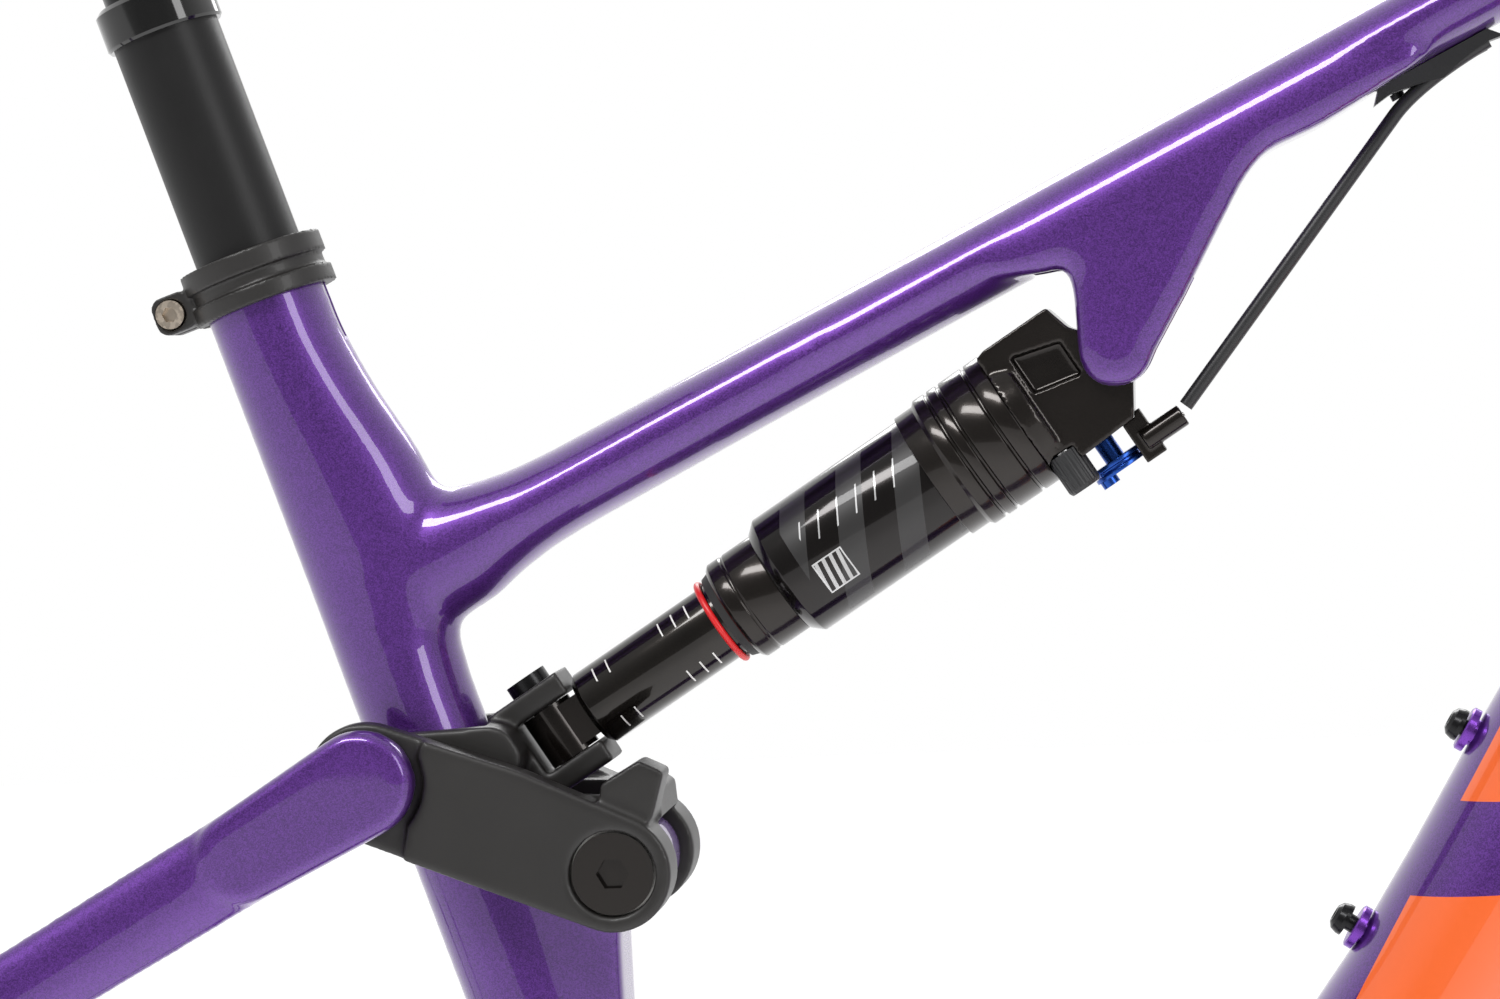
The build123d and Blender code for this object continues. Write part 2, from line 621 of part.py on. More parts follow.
def make_damper_rod():
    piston = SHAFT_BORE_R - RUNNING
    return on_shock([(0, SHAFT_END - 22), (piston, SHAFT_END - 22), (piston, SHAFT_END - 15), (ROD_R, SHAFT_END - 15),
                     (ROD_R, HEAD_START + 4), (0, HEAD_START + 4)])


def make_shaft_wiper():
    return on_shock([(SHAFT_R + RUNNING, WIPER_START), (SHAFT_R + 1.6, WIPER_START), (SHAFT_R + 2.4, CAN_START),
                     (SHAFT_R + RUNNING, CAN_START)])


def make_seal_head():
    inner = SHAFT_R + RUNNING
    return on_shock([(inner, CAN_START), (CAN_NECK_R - 0.8, CAN_START), (CAN_NECK_R, CAN_START + 0.8),
                     (CAN_NECK_R, CAN_NECK_END), (CAN_BORE_R - 1.5, CAN_NECK_END), (CAN_BORE_R - 1.5, CAN_NECK_END + 5),
                     (inner, CAN_NECK_END + 5)])


def make_air_can():
    neck = CAN_BORE_R - 1.5
    return on_shock([(neck, CAN_NECK_END), (CAN_NECK_R + 0.4, CAN_NECK_END), (CAN_R, CAN_NECK_END + 3),
                     (CAN_R, CAN_END), (CAN_BORE_R, CAN_END), (CAN_BORE_R, CAN_NECK_END + 5), (neck, CAN_NECK_END + 5)])


def make_can_collar():
    outer = COLLAR_CAN_R
    points = [(CAN_BORE_R, CAN_END), (CAN_R, CAN_END), (CAN_R, CAN_END - 6), (outer - 1.2, CAN_END - 6),
              (outer - 1.2, CAN_END), (outer, CAN_END + 1.2)]
    for groove in (CAN_END + 5, CAN_END + 9):
        points += [(outer, groove), (outer - 0.7, groove), (outer - 0.7, groove + 0.9), (outer, groove + 0.9)]
    return on_shock(points + [(outer, HEAD_START), (CAN_BORE_R, HEAD_START)])


def make_o_ring():
    section = Plane(origin=(SHAFT_R + RUNNING + 0.95, 0, RING_START + 1.0), x_dir=(1, 0, 0), z_dir=(0, -1, 0))
    return SHOCK * revolve(section * Circle(0.95), Axis.Z)


def make_shock_head():
    side_view = [shock_xz(HEAD_START, 15.0), shock_xz(HEAD_START, HEAD_TOP + 1.0), shock_xz(HEAD_START + 3, HEAD_TOP),
                 shock_xz(HEAD_START + 24, HEAD_TOP), shock_xz(HEAD_START + 26, -13.0), shock_xz(SHOCK_LENGTH - 4, -9.0),
                 shock_xz(SHOCK_LENGTH, -UPPER_EYE_R), shock_xz(SHOCK_LENGTH, UPPER_EYE_R),
                 shock_xz(SHOCK_LENGTH - 6, HEAD_UNDER), shock_xz(HEAD_START + 8, HEAD_UNDER + 1)]
    solid = plate(side_view, -HEAD_HALF_WIDTH, HEAD_HALF_WIDTH)
    solid += on_shock([(0, HEAD_START), (COLLAR_CAN_R, HEAD_START), (COLLAR_CAN_R - 1.5, HEAD_START + 6),
                       (0, HEAD_START + 6)])
    x, z = SHOCK_TOP
    solid += along_y(-HEAD_HALF_WIDTH, HEAD_HALF_WIDTH, UPPER_EYE_R, x, z)
    pocket = plate([shock_xz(HEAD_START + 8, -15), shock_xz(HEAD_START + 8, -3), shock_xz(HEAD_START + 22, 0),
                    shock_xz(HEAD_START + 22, -11)], -HEAD_HALF_WIDTH, -HEAD_HALF_WIDTH + 5)
    solid -= pocket
    solid -= mirror(pocket, Plane.XZ)
    solid -= along_y(-20, 20, UPPER_EYE_R - 2.6, x, z)
    solid -= on_shock([(0, HEAD_START), (ROD_R, HEAD_START), (ROD_R, HEAD_START + 4), (0, HEAD_START + 4)])
    solid -= across_shock(VALVE_CORE_R, 8, 30, HEAD_START + VALVE_AHEAD, VALVE_Y)
    solid -= across_shock(VALVE_R + 0.2, VALVE_CAP_START - 0.3, 30, HEAD_START + VALVE_AHEAD, VALVE_Y)
    solid -= across_shock(3.0, 4, 40, SPOOL_S, 0)
    return one(solid)


def make_valve_core():
    return across_shock(VALVE_CORE_R, 8.2, SPOOL_DEPTH - 2, HEAD_START + VALVE_AHEAD, VALVE_Y)


def make_valve_cap():
    along = HEAD_START + VALVE_AHEAD
    cap = across_shock(VALVE_R, VALVE_CAP_START, SPOOL_DEPTH + 2.0, along, VALVE_Y)
    return cap - across_shock(VALVE_CORE_R, VALVE_CAP_START - 2, SPOOL_DEPTH - 1.0, along, VALVE_Y)


def make_shock_bushing():
    x, z = SHOCK_TOP
    return along_y(-HEAD_HALF_WIDTH, HEAD_HALF_WIDTH, UPPER_EYE_R - 2.6, x, z, UPPER_BOLT_R + RUNNING)


def make_upper_bolt():
    x, z = SHOCK_TOP
    return socket_bolt(CHEEK_OUTER + 3.4, -CHEEK_OUTER + 1.6, 6.6, UPPER_BOLT_R, x, z, 3.4, 3.2)


def make_cable_stop():
    arm = SHOCK * (Pos(HEAD_UNDER + 5.6, BARREL_Y / 2, BARREL_START - 1.5) * Box(14.0, 9.0, 6.5))
    eye = Plane(origin=shock_point(BARREL_START - 2, SPOOL_DEPTH + 0.4, BARREL_Y), z_dir=SHOCK_UP)
    barrel = eye * Cylinder(BARREL_R + 0.3, BARREL_END - BARREL_START + 2, align=(Align.CENTER, Align.CENTER, Align.MIN))
    solid = arm + barrel
    solid -= eye * Cylinder(1.0, 30, align=(Align.CENTER, Align.CENTER, Align.MIN))
    solid -= across_shock(SPOOL_R + 0.5, SPOOL_DEPTH - 1.0, SPOOL_DEPTH + 12, SPOOL_S)
    solid -= make_shock_head()
    x, z = SHOCK_TOP
    solid -= along_y(-30, 30, UPPER_EYE_R + 0.2, x, z)
    return one(solid)


def make_lockout_spool():
    disc = across_shock(SPOOL_R, SPOOL_DEPTH, SPOOL_DEPTH + SPOOL_THICKNESS, SPOOL_S)
    groove = across_shock(SPOOL_R + 1, SPOOL_DEPTH + 1.2, SPOOL_DEPTH + 2.4, SPOOL_S, inner=SPOOL_R - 1.0)
    stem = across_shock(3.0 - RUNNING, 5.0, SPOOL_DEPTH, SPOOL_S)
    return one(disc - groove + stem - across_shock(1.6, SPOOL_DEPTH, SPOOL_DEPTH + 5, SPOOL_S - 4.6, -3.4))


def make_cable_screw():
    shank = across_shock(1.6, SPOOL_DEPTH + 0.2, SPOOL_DEPTH + SPOOL_THICKNESS, SPOOL_S - 4.6, -3.4)
    return shank + across_shock(2.6, SPOOL_DEPTH + SPOOL_THICKNESS, SPOOL_DEPTH + SPOOL_THICKNESS + 2.0, SPOOL_S - 4.6, -3.4)


def make_inner_cable():
    start = shock_point(BARREL_END + 0.3, SPOOL_DEPTH + 0.4, BARREL_Y)
    end = shock_point(BARREL_START - 1.0, SPOOL_DEPTH + 0.4, BARREL_Y)
    plane = Plane(origin=end, z_dir=SHOCK_UP)
    return plane * Cylinder(0.6, (start - end).length, align=(Align.CENTER, Align.CENTER, Align.MIN))


# ---- remote housing and its guide --------------------------------------------------------------
def make_cable_guide():
    under = -TOP_HALF_DEPTH - 1.6
    start, end = GUIDE_X - GUIDE_LENGTH / 2, GUIDE_X + GUIDE_LENGTH / 2
    base = plate([top_xz(start, under + 1.6), top_xz(end, under + 1.6), top_xz(end + 3, under - 2.2),
                  top_xz(end - 2, under - 1.4), top_xz(GUIDE_X + 5, under - 3.0), top_xz(GUIDE_X, under - 4.6),
                  top_xz(GUIDE_X - 5, under - 3.0), top_xz(start + 2, under - 1.4), top_xz(start - 3, under - 2.2)],
                 -GUIDE_HALF_WIDTH, GUIDE_HALF_WIDTH)
    base -= top_tube_outer()
    for place in (start + 3.5, end - 3.5):
        base -= guide_hole(place)
    return one(base - housing_tube(HOUSING_R + HOUSING_CLEARANCE))


def guide_hole(x):
    plane = Plane(origin=top_point(x, -TOP_HALF_DEPTH - 12, GUIDE_SCREW_Y), x_dir=(0, 1, 0), z_dir=TOP_NORMAL)
    seat = Cylinder(2.1, 12 - 3.3, align=(Align.CENTER, Align.CENTER, Align.MIN))
    return plane * (Cylinder(1.2, 14, align=(Align.CENTER, Align.CENTER, Align.MIN)) + seat)


def make_guide_screws():
    screws = []
    for x in (GUIDE_X - GUIDE_LENGTH / 2 + 3.5, GUIDE_X + GUIDE_LENGTH / 2 - 3.5):
        plane = Plane(origin=top_point(x, -TOP_HALF_DEPTH - 5.1, GUIDE_SCREW_Y), x_dir=(0, 1, 0), z_dir=TOP_NORMAL)
        head = Cylinder(2.0, 1.8, align=(Align.CENTER, Align.CENTER, Align.MIN))
        shank = Pos(0, 0, 1.8) * Cylinder(1.15, 3.2, align=(Align.CENTER, Align.CENTER, Align.MIN))
        screws.append(one(plane * (head + shank) - top_tube_outer()))
    return screws


def housing_route():
    """Fixed by the guide, then a straight reach to just short of the cable stop's mouth."""
    mouth = shock_point(BARREL_END + 1.9, SPOOL_DEPTH - 1.2, BARREL_Y)
    guide_in = top_point(GUIDE_X - 6, -TOP_HALF_DEPTH - 4.0, GUIDE_CABLE_Y)
    guide_out = top_point(GUIDE_X + 14, -TOP_HALF_DEPTH - 3.0, GUIDE_CABLE_Y)
    return [mouth, guide_in, guide_out]


def housing_tube(radius):
    points = housing_route()
    path = FilletPolyline(*points, radius=HOUSING_BEND)
    section = Plane(origin=points[0], z_dir=points[1] - points[0]) * Circle(radius)
    return sweep(section, path=path)


def make_remote_housing():
    return one(housing_tube(HOUSING_R) - top_tube_outer())


# ---- seatpost ----------------------------------------------------------------------------------
def make_seatpost_outer():
    bore = STANCHION_R + RUNNING
    return turned(SEAT, [(bore, POST_BOTTOM), (POST_R, POST_BOTTOM), (POST_R, COLLAR_BOTTOM), (bore, COLLAR_BOTTOM)])


def make_seatpost_collar():
    bore = STANCHION_R + RUNNING
    top = COLLAR_BOTTOM + COLLAR_LENGTH
    return turned(SEAT, [(bore, COLLAR_BOTTOM), (COLLAR_R - 0.6, COLLAR_BOTTOM), (COLLAR_R, COLLAR_BOTTOM + 0.8),
                         (COLLAR_R, top - 1.4), (COLLAR_R - 1.4, top), (bore, top)])


def make_post_foot():
    return on_seat(POST_R, POST_BOTTOM - 12, POST_BOTTOM)


def make_stanchion():
    return on_seat(STANCHION_R, STANCHION_BOTTOM, STANCHION_TOP, STANCHION_R - 2)


def rail_centre():
    return seat_point(STANCHION_TOP + SADDLE_HEAD_HEIGHT)


def rail_cylinders(radius, length):
    centre = rail_centre()
    rails = []
    for sign in (-1, 1):
        plane = Plane(origin=centre + Vector(-length / 2, sign * RAIL_SPACING / 2, 0), z_dir=(1, 0, 0))
        rails.append(plane * Cylinder(radius, length, align=(Align.CENTER, Align.CENTER, Align.MIN)))
    return rails


def make_post_head():
    centre = rail_centre()
    cradle = Pos(centre.X, 0, centre.Z - 5.0 - 0.15) * Box(RAIL_GRIP, RAIL_SPACING + 12, 10.0)
    cradle = fillet(cradle.edges().filter_by(Axis.X).group_by(Axis.Z)[0], 4.0)
    neck = loft([SEAT * (Pos(0, 0, STANCHION_TOP) * Circle(STANCHION_R)),
                 Plane(origin=centre - Vector(0, 0, 9.0), x_dir=(1, 0, 0), z_dir=(0, 0, 1)) * RectangleRounded(30, 34, 8)])
    solid = cradle + neck
    for rail in rail_cylinders(RAIL_R, RAIL_GRIP + 2):
        solid -= rail
    for dx in (-13, 13):
        solid -= Pos(centre.X + dx, 0, centre.Z) * Cylinder(3.05, 60)
    return one(solid)


def make_rail_clamp():
    centre = rail_centre()
    solid = Pos(centre.X, 0, centre.Z + 3.6) * Box(RAIL_GRIP, RAIL_SPACING + 12, 6.9)
    solid = fillet(solid.edges().filter_by(Axis.X).group_by(Axis.Z)[-1], 3.0)
    for rail in rail_cylinders(RAIL_R, RAIL_GRIP + 2):
        solid -= rail
    for dx in (-13, 13):
        solid -= Pos(centre.X + dx, 0, centre.Z) * Cylinder(3.05, 60)
    return one(solid)


def make_clamp_bolts():
    centre = rail_centre()
    bolts = []
    for dx in (-13, 13):
        base = Pos(centre.X + dx, 0, centre.Z + 7.05)
        head = Cylinder(4.6, 4.0, align=(Align.CENTER, Align.CENTER, Align.MIN))
        head -= Pos(0, 0, 1.4) * extrude(RegularPolygon(2.8, 6), amount=4)
        shank = Cylinder(3.0, 17.0, align=(Align.CENTER, Align.CENTER, Align.MAX))
        bolts.append(one(base * (head + shank)))
    return bolts


# ---- chainstays --------------------------------------------------------------------------------
def chainstay_arm(sign):
    ax, az = REAR_AXLE
    sx, sz = CHAINSTAY_START
    points = [side(sx, sz, sign * 31), side(-130, 43, sign * 37), side(-250, 38, sign * 49),
              side(-350, 36, sign * 66), side(ax + 40, az + 8, sign * (STAY_BACK + 2))]
    path = Spline(*points)
    shapes = [(0.0, 9, 17), (0.2, 8.5, 15), (0.45, 8.0, 12), (0.7, 7.5, 11), (0.88, 5.6, 11.5), (1.0, 4.0, 12)]
    return tube([(path @ s, path % s, w, h) for s, w, h in shapes])


def make_chainstay(sign):
    arm = chainstay_arm(sign) - chainstay_yoke_block() - dropout_block(sign)
    if sign > 0:
        arm -= brake_holes()
    return one(arm)


def chainstay_yoke_block():
    x, z = MAIN_PIVOT
    sx, sz = CHAINSTAY_START
    block = hull_plate([(x, z, MAIN_EYE_R), (sx - 2, sz, 15)], -MAIN_EYE_OUTER - 4, MAIN_EYE_OUTER + 4)
    block -= along_y(-60, -MAIN_EYE_OUTER, MAIN_EYE_R + 4, x, z)
    block -= along_y(MAIN_EYE_OUTER, 60, MAIN_EYE_R + 4, x, z)
    inside = hull_plate([(x, z, MAIN_EYE_R + 2.2), (x + 40, z - 60, 40), (x + 40, z + 20, 40)],
                        -MAIN_LUG_HALF - SIDE_GAP, MAIN_LUG_HALF + SIDE_GAP)
    wheel = plate([(-300, -60), (sx + 2, -60), (sx + 2, 160), (-300, 160)], -21, 21)
    return block - inside - wheel


def make_chainstay_yoke():
    x, z = MAIN_PIVOT
    solid = chainstay_yoke_block()
    solid -= along_y(-60, 60, PIVOT_AXLE_R + 3.0, x, z)
    for ring in both_sides(MAIN_LUG_HALF + 3, 60, MAIN_BEARING_R, x, z):
        solid -= ring
    return one(solid)


def make_main_bearings():
    x, z = MAIN_PIVOT
    return both_sides(MAIN_LUG_HALF + 3, MAIN_LUG_HALF + 3 + MAIN_BEARING_WIDTH, MAIN_BEARING_R, x, z,
                      PIVOT_AXLE_R + RUNNING)


def make_main_spacers():
    x, z = MAIN_PIVOT
    return both_sides(MAIN_LUG_HALF, MAIN_LUG_HALF + 2.9, PIVOT_AXLE_R + 2.2, x, z, PIVOT_AXLE_R)


def make_main_axle():
    x, z = MAIN_PIVOT
    start = MAIN_LUG_HALF + 3 + MAIN_BEARING_WIDTH + 0.1
    return socket_bolt(-start - 3.5, start, 11.5, PIVOT_AXLE_R, x, z, 3.5, 4.6)


def make_main_axle_cap():
    x, z = MAIN_PIVOT
    start = MAIN_LUG_HALF + 3 + MAIN_BEARING_WIDTH + 0.1
    cap = along_y(start, start + 3.5, 11.5, x, z)
    plane = Plane(origin=(x, start + 3.5, z), x_dir=(1, 0, 0), z_dir=(0, -1, 0))
    return cap - plane * extrude(RegularPolygon(4.6, 6), amount=2.4)


def dropout_block(sign):
    ax, az = REAR_AXLE
    dx, dz = DROP_PIVOT
    circles = [(ax, az, 15.0), (dx, dz, DROP_EYE_R), (ax + 46, az + 9, 12.5)]
    low, high = sorted((sign * STAY_BACK, sign * (STAY_BACK + DROP_PLATE)))
    return hull_plate(circles, low, high)


def make_dropout(sign):
    ax, az = REAR_AXLE
    dx, dz = DROP_PIVOT
    solid = dropout_block(sign)
    low, high = sorted((sign * STAY_BACK, sign * (STAY_BACK + DROP_PLATE)))
    solid -= along_y(low - 1, high + 1, HUB_AXLE_R, ax, az)
    solid -= along_y(low - 1, high + 1, DROP_BOLT_R, dx, dz)
    solid -= hull_plate([(ax + 14, az + 19, 3), (ax + 27, az + 15, 4)], low - 1, high + 1)
    return one(solid)


def make_dropout_bolts():
    dx, dz = DROP_PIVOT
    inner = STAY_BACK + 0.6
    seat = STAY_BACK + DROP_PLATE + SIDE_GAP + STAY_DROP_THICKNESS + SIDE_GAP
    right = socket_bolt(-seat - 4.0, -inner, 10.2, DROP_BOLT_R, dx, dz, 4.0, 3.5)
    left = socket_bolt(seat + 4.0, inner, 10.2, DROP_BOLT_R, dx, dz, 4.0, 3.5)
    return [right, left]


def make_derailleur_hanger():
    ax, az = REAR_AXLE
    outer = STAY_BACK + DROP_PLATE
    solid = hull_plate([(ax, az, 11.5), (ax - 7, az - HANGER_DROP, 8.5)], -outer - HANGER_THICKNESS, -outer)
    solid -= along_y(-outer - 10, -outer + 1, HUB_AXLE_R, ax, az)
    solid -= along_y(-outer - 10, -outer + 1, 5.0, ax - 7, az - HANGER_DROP)
    solid -= along_y(-outer - 10, -outer + 1, 1.6, ax - 2, az - 13)
    return one(solid)


def make_hanger_screw():
    ax, az = REAR_AXLE
    outer = STAY_BACK + DROP_PLATE + HANGER_THICKNESS
    return socket_bolt(-outer - 1.6, -outer + 6.8, 3.0, 1.55, ax - 2, az - 13, 1.6, 1.4)


def brake_holes():
    """The two bolt holes, right through the pad and the chainstay."""
    ax, az = REAR_AXLE
    hole = Cylinder(BRAKE_BOLT_R, 3 * BRAKE_TOP)
    middle = ax + BRAKE_AHEAD
    return [Pos(middle + dx, BRAKE_Y, az) * hole for dx in (-BRAKE_HOLES / 2, BRAKE_HOLES / 2)]


def make_brake_mount():
    """A low pad on top of the left chainstay, drilled for the caliper's two bolts."""
    ax, az = REAR_AXLE
    x, y, z = ax + BRAKE_AHEAD, BRAKE_Y, az + BRAKE_TOP
    align = (Align.CENTER, Align.CENTER, Align.MAX)
    solid = Pos(x, y, z) * Box(BRAKE_HOLES + 14, BRAKE_WIDTH, BRAKE_TOP, align=align)
    solid = fillet(solid.edges().filter_by(Axis.Z), 4.0)
    solid -= brake_holes()
    return one(solid - chainstay_arm(1))


# ---- seatstays ---------------------------------------------------------------------------------
def make_seatstay(sign):
    sx, sz = STAY_PIVOT
    dx, dz = DROP_PIVOT
    inner = STAY_INNER
    drop_inner = STAY_BACK + DROP_PLATE + SIDE_GAP
    ux, uz = (dx - sx), (dz - sz)
    length = (ux * ux + uz * uz) ** 0.5
    ux, uz = ux / length, uz / length

    def at(distance, y):
        return side(sx + ux * distance, sz + uz * distance, sign * y)

    middle = inner + STAY_THICKNESS / 2
    rear = drop_inner + STAY_DROP_THICKNESS / 2
    shapes = [(12, middle, 4.6, 13.0), (100, middle + 0.5, 6.0, 12.6), (200, middle + 13, 6.5, 11.8),
              (300, rear - 13, 6.2, 11.0), (length - 26, rear, 4.2, 10.6), (length - 8, rear, 3.9, 11.0)]
    points = [at(d, y) for d, y, w, h in shapes]
    path = Spline(*points)
    stations = []
    for (d, y, w, h), point in zip(shapes, points):
        share = path.param_at_point(point)
        stations.append((point, path % share, w, h))
    low, high = sorted((sign * inner, sign * (inner + STAY_THICKNESS)))
    front = hull_plate([(sx, sz, STAY_END_R), (sx + ux * 40, sz + uz * 40, STAY_HALF_DEPTH)], low, high)
    front = fillet(front.faces().sort_by(Axis.Y)[-1 if sign > 0 else 0].edges(), 3.4)
    low, high = sorted((sign * drop_inner, sign * (drop_inner + STAY_DROP_THICKNESS)))
    back = hull_plate([(dx, dz, DROP_EYE_R + 0.6), (dx - ux * 24, dz - uz * 24, 10.0)], low, high)
    solid = tube(stations) + front + back
    low, high = sorted((sign * (drop_inner - 12), sign * drop_inner))
    solid -= along_y(low, high, DROP_EYE_R + 24, dx, dz)
    low, high = sorted((sign * (inner - 6), sign * inner))
    solid -= along_y(low, high, STAY_END_R + 50, sx, sz)
    low, high = sorted((sign * (drop_inner - 1), sign * (drop_inner + 12)))
    solid -= along_y(low, high, DROP_BOLT_R + OPEN_PIVOT_GAP, dx, dz)
    low, high = sorted((sign * (inner - 1), sign * (inner + 6.5)))
    solid -= along_y(low, high, STAY_PIN_R, sx, sz)
    return one(solid)


def make_seatstay_bridge():
    sx, sz = STAY_PIVOT
    dx, dz = DROP_PIVOT
    length = ((dx - sx) ** 2 + (dz - sz) ** 2) ** 0.5
    ux, uz = (dx - sx) / length, (dz - sz) / length
    x, z = sx + ux * BRIDGE_AT, sz + uz * BRIDGE_AT
    solid = hull_plate([(x, z, 6.0), (x + ux * 8, z + uz * 8, 5.0)], -STAY_INNER - 2, STAY_INNER + 2)
    return one(solid - seatstay_right - seatstay_left)


# ---- bottle bosses -----------------------------------------------------------------------------
def on_boss(place, direction, points):
    return turned(Plane(origin=place, z_dir=direction), points)


def make_bottle_inserts():
    inserts = []
    for place, direction in bottle_places():
        inserts.append(on_boss(place, direction, [(BOTTLE_BOLT_R, -9), (BOSS_INSERT_R, -9), (BOSS_INSERT_R, 0.6),
                                                  (6.4, 0.6), (6.4, 2.6), (5.8, 3.0), (BOTTLE_BOLT_R, 3.0)]))
    return inserts


def make_bottle_bolts():
    bolts = []
    for index, (place, direction) in enumerate(bottle_places()):
        lift = 3.6 if index else 5.2
        profile = [(0, -6), (BOTTLE_BOLT_R, -6), (BOTTLE_BOLT_R, lift), (4.6, lift), (4.6, lift + 1.2),
                   (4.0, lift + 3.0), (2.6, lift + 4.0), (1.7, lift + 4.0), (1.7, lift + 1.6), (0, lift + 1.6)]
        bolts.append(on_boss(place, direction, profile))
    return bolts


def save(name, shape):
    """Write one node; a list or a Compound of separate bodies stays separate solids."""
    solids = shape if isinstance(shape, list) else shape.solids()
    bodies = [body.solids()[0] if not isinstance(body, Solid) else body for body in solids]
    export_step(bodies[0] if len(bodies) == 1 else Compound(children=bodies), f"parts/{name}.step")


seatstay_right = make_seatstay(-1)
seatstay_left = make_seatstay(1)

NODES = {
    "head_tube": make_head_tube, "top_tube": make_top_tube, "down_tube": make_down_tube,
    "seat_tube": make_seat_tube, "bb_shell": make_bb_shell,
    "seat_clamp_band": make_seat_clamp_band, "seat_clamp_bolt": make_seat_clamp_bolt,
    "rocker_link": make_rocker_link, "link_bearings": make_link_bearings, "link_spacers": make_link_spacers,
    "link_axle": make_link_axle, "link_axle_cap": make_link_axle_cap,
    "stay_bearings": make_stay_bearings, "stay_pins": make_stay_pins,
    "yoke": make_yoke, "yoke_bolt": make_yoke_bolt, "shock_eyelet": make_shock_eyelet,
    "eyelet_bushing": make_eyelet_bushing, "shock_shaft": make_shock_shaft, "air_piston": make_air_piston,
    "damper_rod": make_damper_rod, "shaft_wiper": make_shaft_wiper,
    "seal_head": make_seal_head, "air_can": make_air_can, "can_collar": make_can_collar, "o_ring": make_o_ring,
    "shock_head": make_shock_head, "valve_core": make_valve_core, "valve_cap": make_valve_cap,
    "shock_bushing": make_shock_bushing, "upper_shock_bolt": make_upper_bolt, "cable_stop": make_cable_stop,
    "lockout_spool": make_lockout_spool, "cable_screw": make_cable_screw, "inner_cable": make_inner_cable,
    "cable_guide": make_cable_guide, "guide_screws": make_guide_screws, "remote_housing": make_remote_housing,
    "seatpost_outer": make_seatpost_outer, "seatpost_collar": make_seatpost_collar, "post_foot": make_post_foot, "stanchion": make_stanchion,
    "post_head": make_post_head, "rail_clamp": make_rail_clamp, "rail_clamp_bolts": make_clamp_bolts,
    "chainstays": lambda: [make_chainstay(-1), make_chainstay(1)],
    "chainstay_yoke": make_chainstay_yoke, "main_bearings": make_main_bearings,
    "main_spacers": make_main_spacers, "main_axle": make_main_axle,
    "main_axle_cap": make_main_axle_cap,
    "dropouts": lambda: [make_dropout(-1), make_dropout(1)], "dropout_bolts": make_dropout_bolts,
    "derailleur_hanger": make_derailleur_hanger, "hanger_screw": make_hanger_screw, "brake_mount": make_brake_mount,
    "seatstays": lambda: [seatstay_right, seatstay_left], "seatstay_bridge": make_seatstay_bridge,
    "bottle_inserts": make_bottle_inserts, "bottle_bolts": make_bottle_bolts,
}

for node_name, maker in NODES.items():
    save(node_name, maker())
print(len(NODES), "nodes")
print("remote housing: bend radius", HOUSING_BEND, "run", (housing_route()[1] - housing_route()[0]).length)
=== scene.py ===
"""Looks of a full-suspension bicycle frame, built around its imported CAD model, in metres."""

import logging
from dataclasses import dataclass, field
from enum import Enum
from math import atan2, cos, pi, radians, sin, tan
from typing import Any, Iterable, Sequence

import bmesh
import bpy
from mathutils import Matrix, Vector

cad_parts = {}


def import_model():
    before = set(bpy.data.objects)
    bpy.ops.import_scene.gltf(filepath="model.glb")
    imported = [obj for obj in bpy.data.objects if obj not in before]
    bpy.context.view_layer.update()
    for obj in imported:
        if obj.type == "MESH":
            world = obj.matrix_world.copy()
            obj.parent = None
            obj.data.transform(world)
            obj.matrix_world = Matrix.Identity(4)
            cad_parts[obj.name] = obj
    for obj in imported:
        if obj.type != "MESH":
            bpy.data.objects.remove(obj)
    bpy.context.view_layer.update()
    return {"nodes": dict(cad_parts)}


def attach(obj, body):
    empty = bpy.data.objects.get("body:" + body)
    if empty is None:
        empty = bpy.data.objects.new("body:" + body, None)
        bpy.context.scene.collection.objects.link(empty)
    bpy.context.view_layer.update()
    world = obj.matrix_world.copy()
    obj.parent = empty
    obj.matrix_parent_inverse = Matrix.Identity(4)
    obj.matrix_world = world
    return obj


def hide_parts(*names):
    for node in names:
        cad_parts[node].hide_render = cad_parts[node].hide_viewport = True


LOG = logging.getLogger("frame")
SIDEWAYS = Vector((0.0, 1.0, 0.0))

# ---- reference lines, as the CAD has them --------------------------------------------------------
SEAT_LEAN = radians(18.2)
SEAT_FOOT = Vector((0.046, 0.0, 0.0))
SEAT_UP = Vector((-sin(SEAT_LEAN), 0.0, cos(SEAT_LEAN)))
SEAT_FORWARD = Vector((cos(SEAT_LEAN), 0.0, sin(SEAT_LEAN)))
SEAT_TOP = 0.429
POST_R = 0.0155
POST_LOW = 0.165
TOP_RISE = radians(26.0)
TOP_HEIGHT = 0.343
TOP_ALONG = Vector((cos(TOP_RISE), 0.0, sin(TOP_RISE)))
TOP_NORMAL = Vector((-sin(TOP_RISE), 0.0, cos(TOP_RISE)))
HEAD_TILT = radians(68.0)
HEAD_UP = Vector((-cos(HEAD_TILT), 0.0, sin(HEAD_TILT)))
HEAD_MIDDLE = Vector((0.449, 0.0, 0.549))
HEAD_LENGTH = 0.100
SHOCK_RISE = radians(31.9)
SHOCK_UP = Vector((cos(SHOCK_RISE), 0.0, sin(SHOCK_RISE)))
SHOCK_DOWN = Vector((sin(SHOCK_RISE), 0.0, -cos(SHOCK_RISE)))
SHOCK_TOP = Vector((0.1545, 0.0, 0.3740))
SHOCK_LENGTH = 0.190
SHOCK_EYE = SHOCK_TOP - SHOCK_UP * SHOCK_LENGTH
LINK_PIVOT = Vector((0.0108, 0.0, 0.2368))
MAIN_PIVOT = Vector((-0.028, 0.0, 0.050))
DOWN_BELLY = Vector((0.254, 0.0, 0.222))
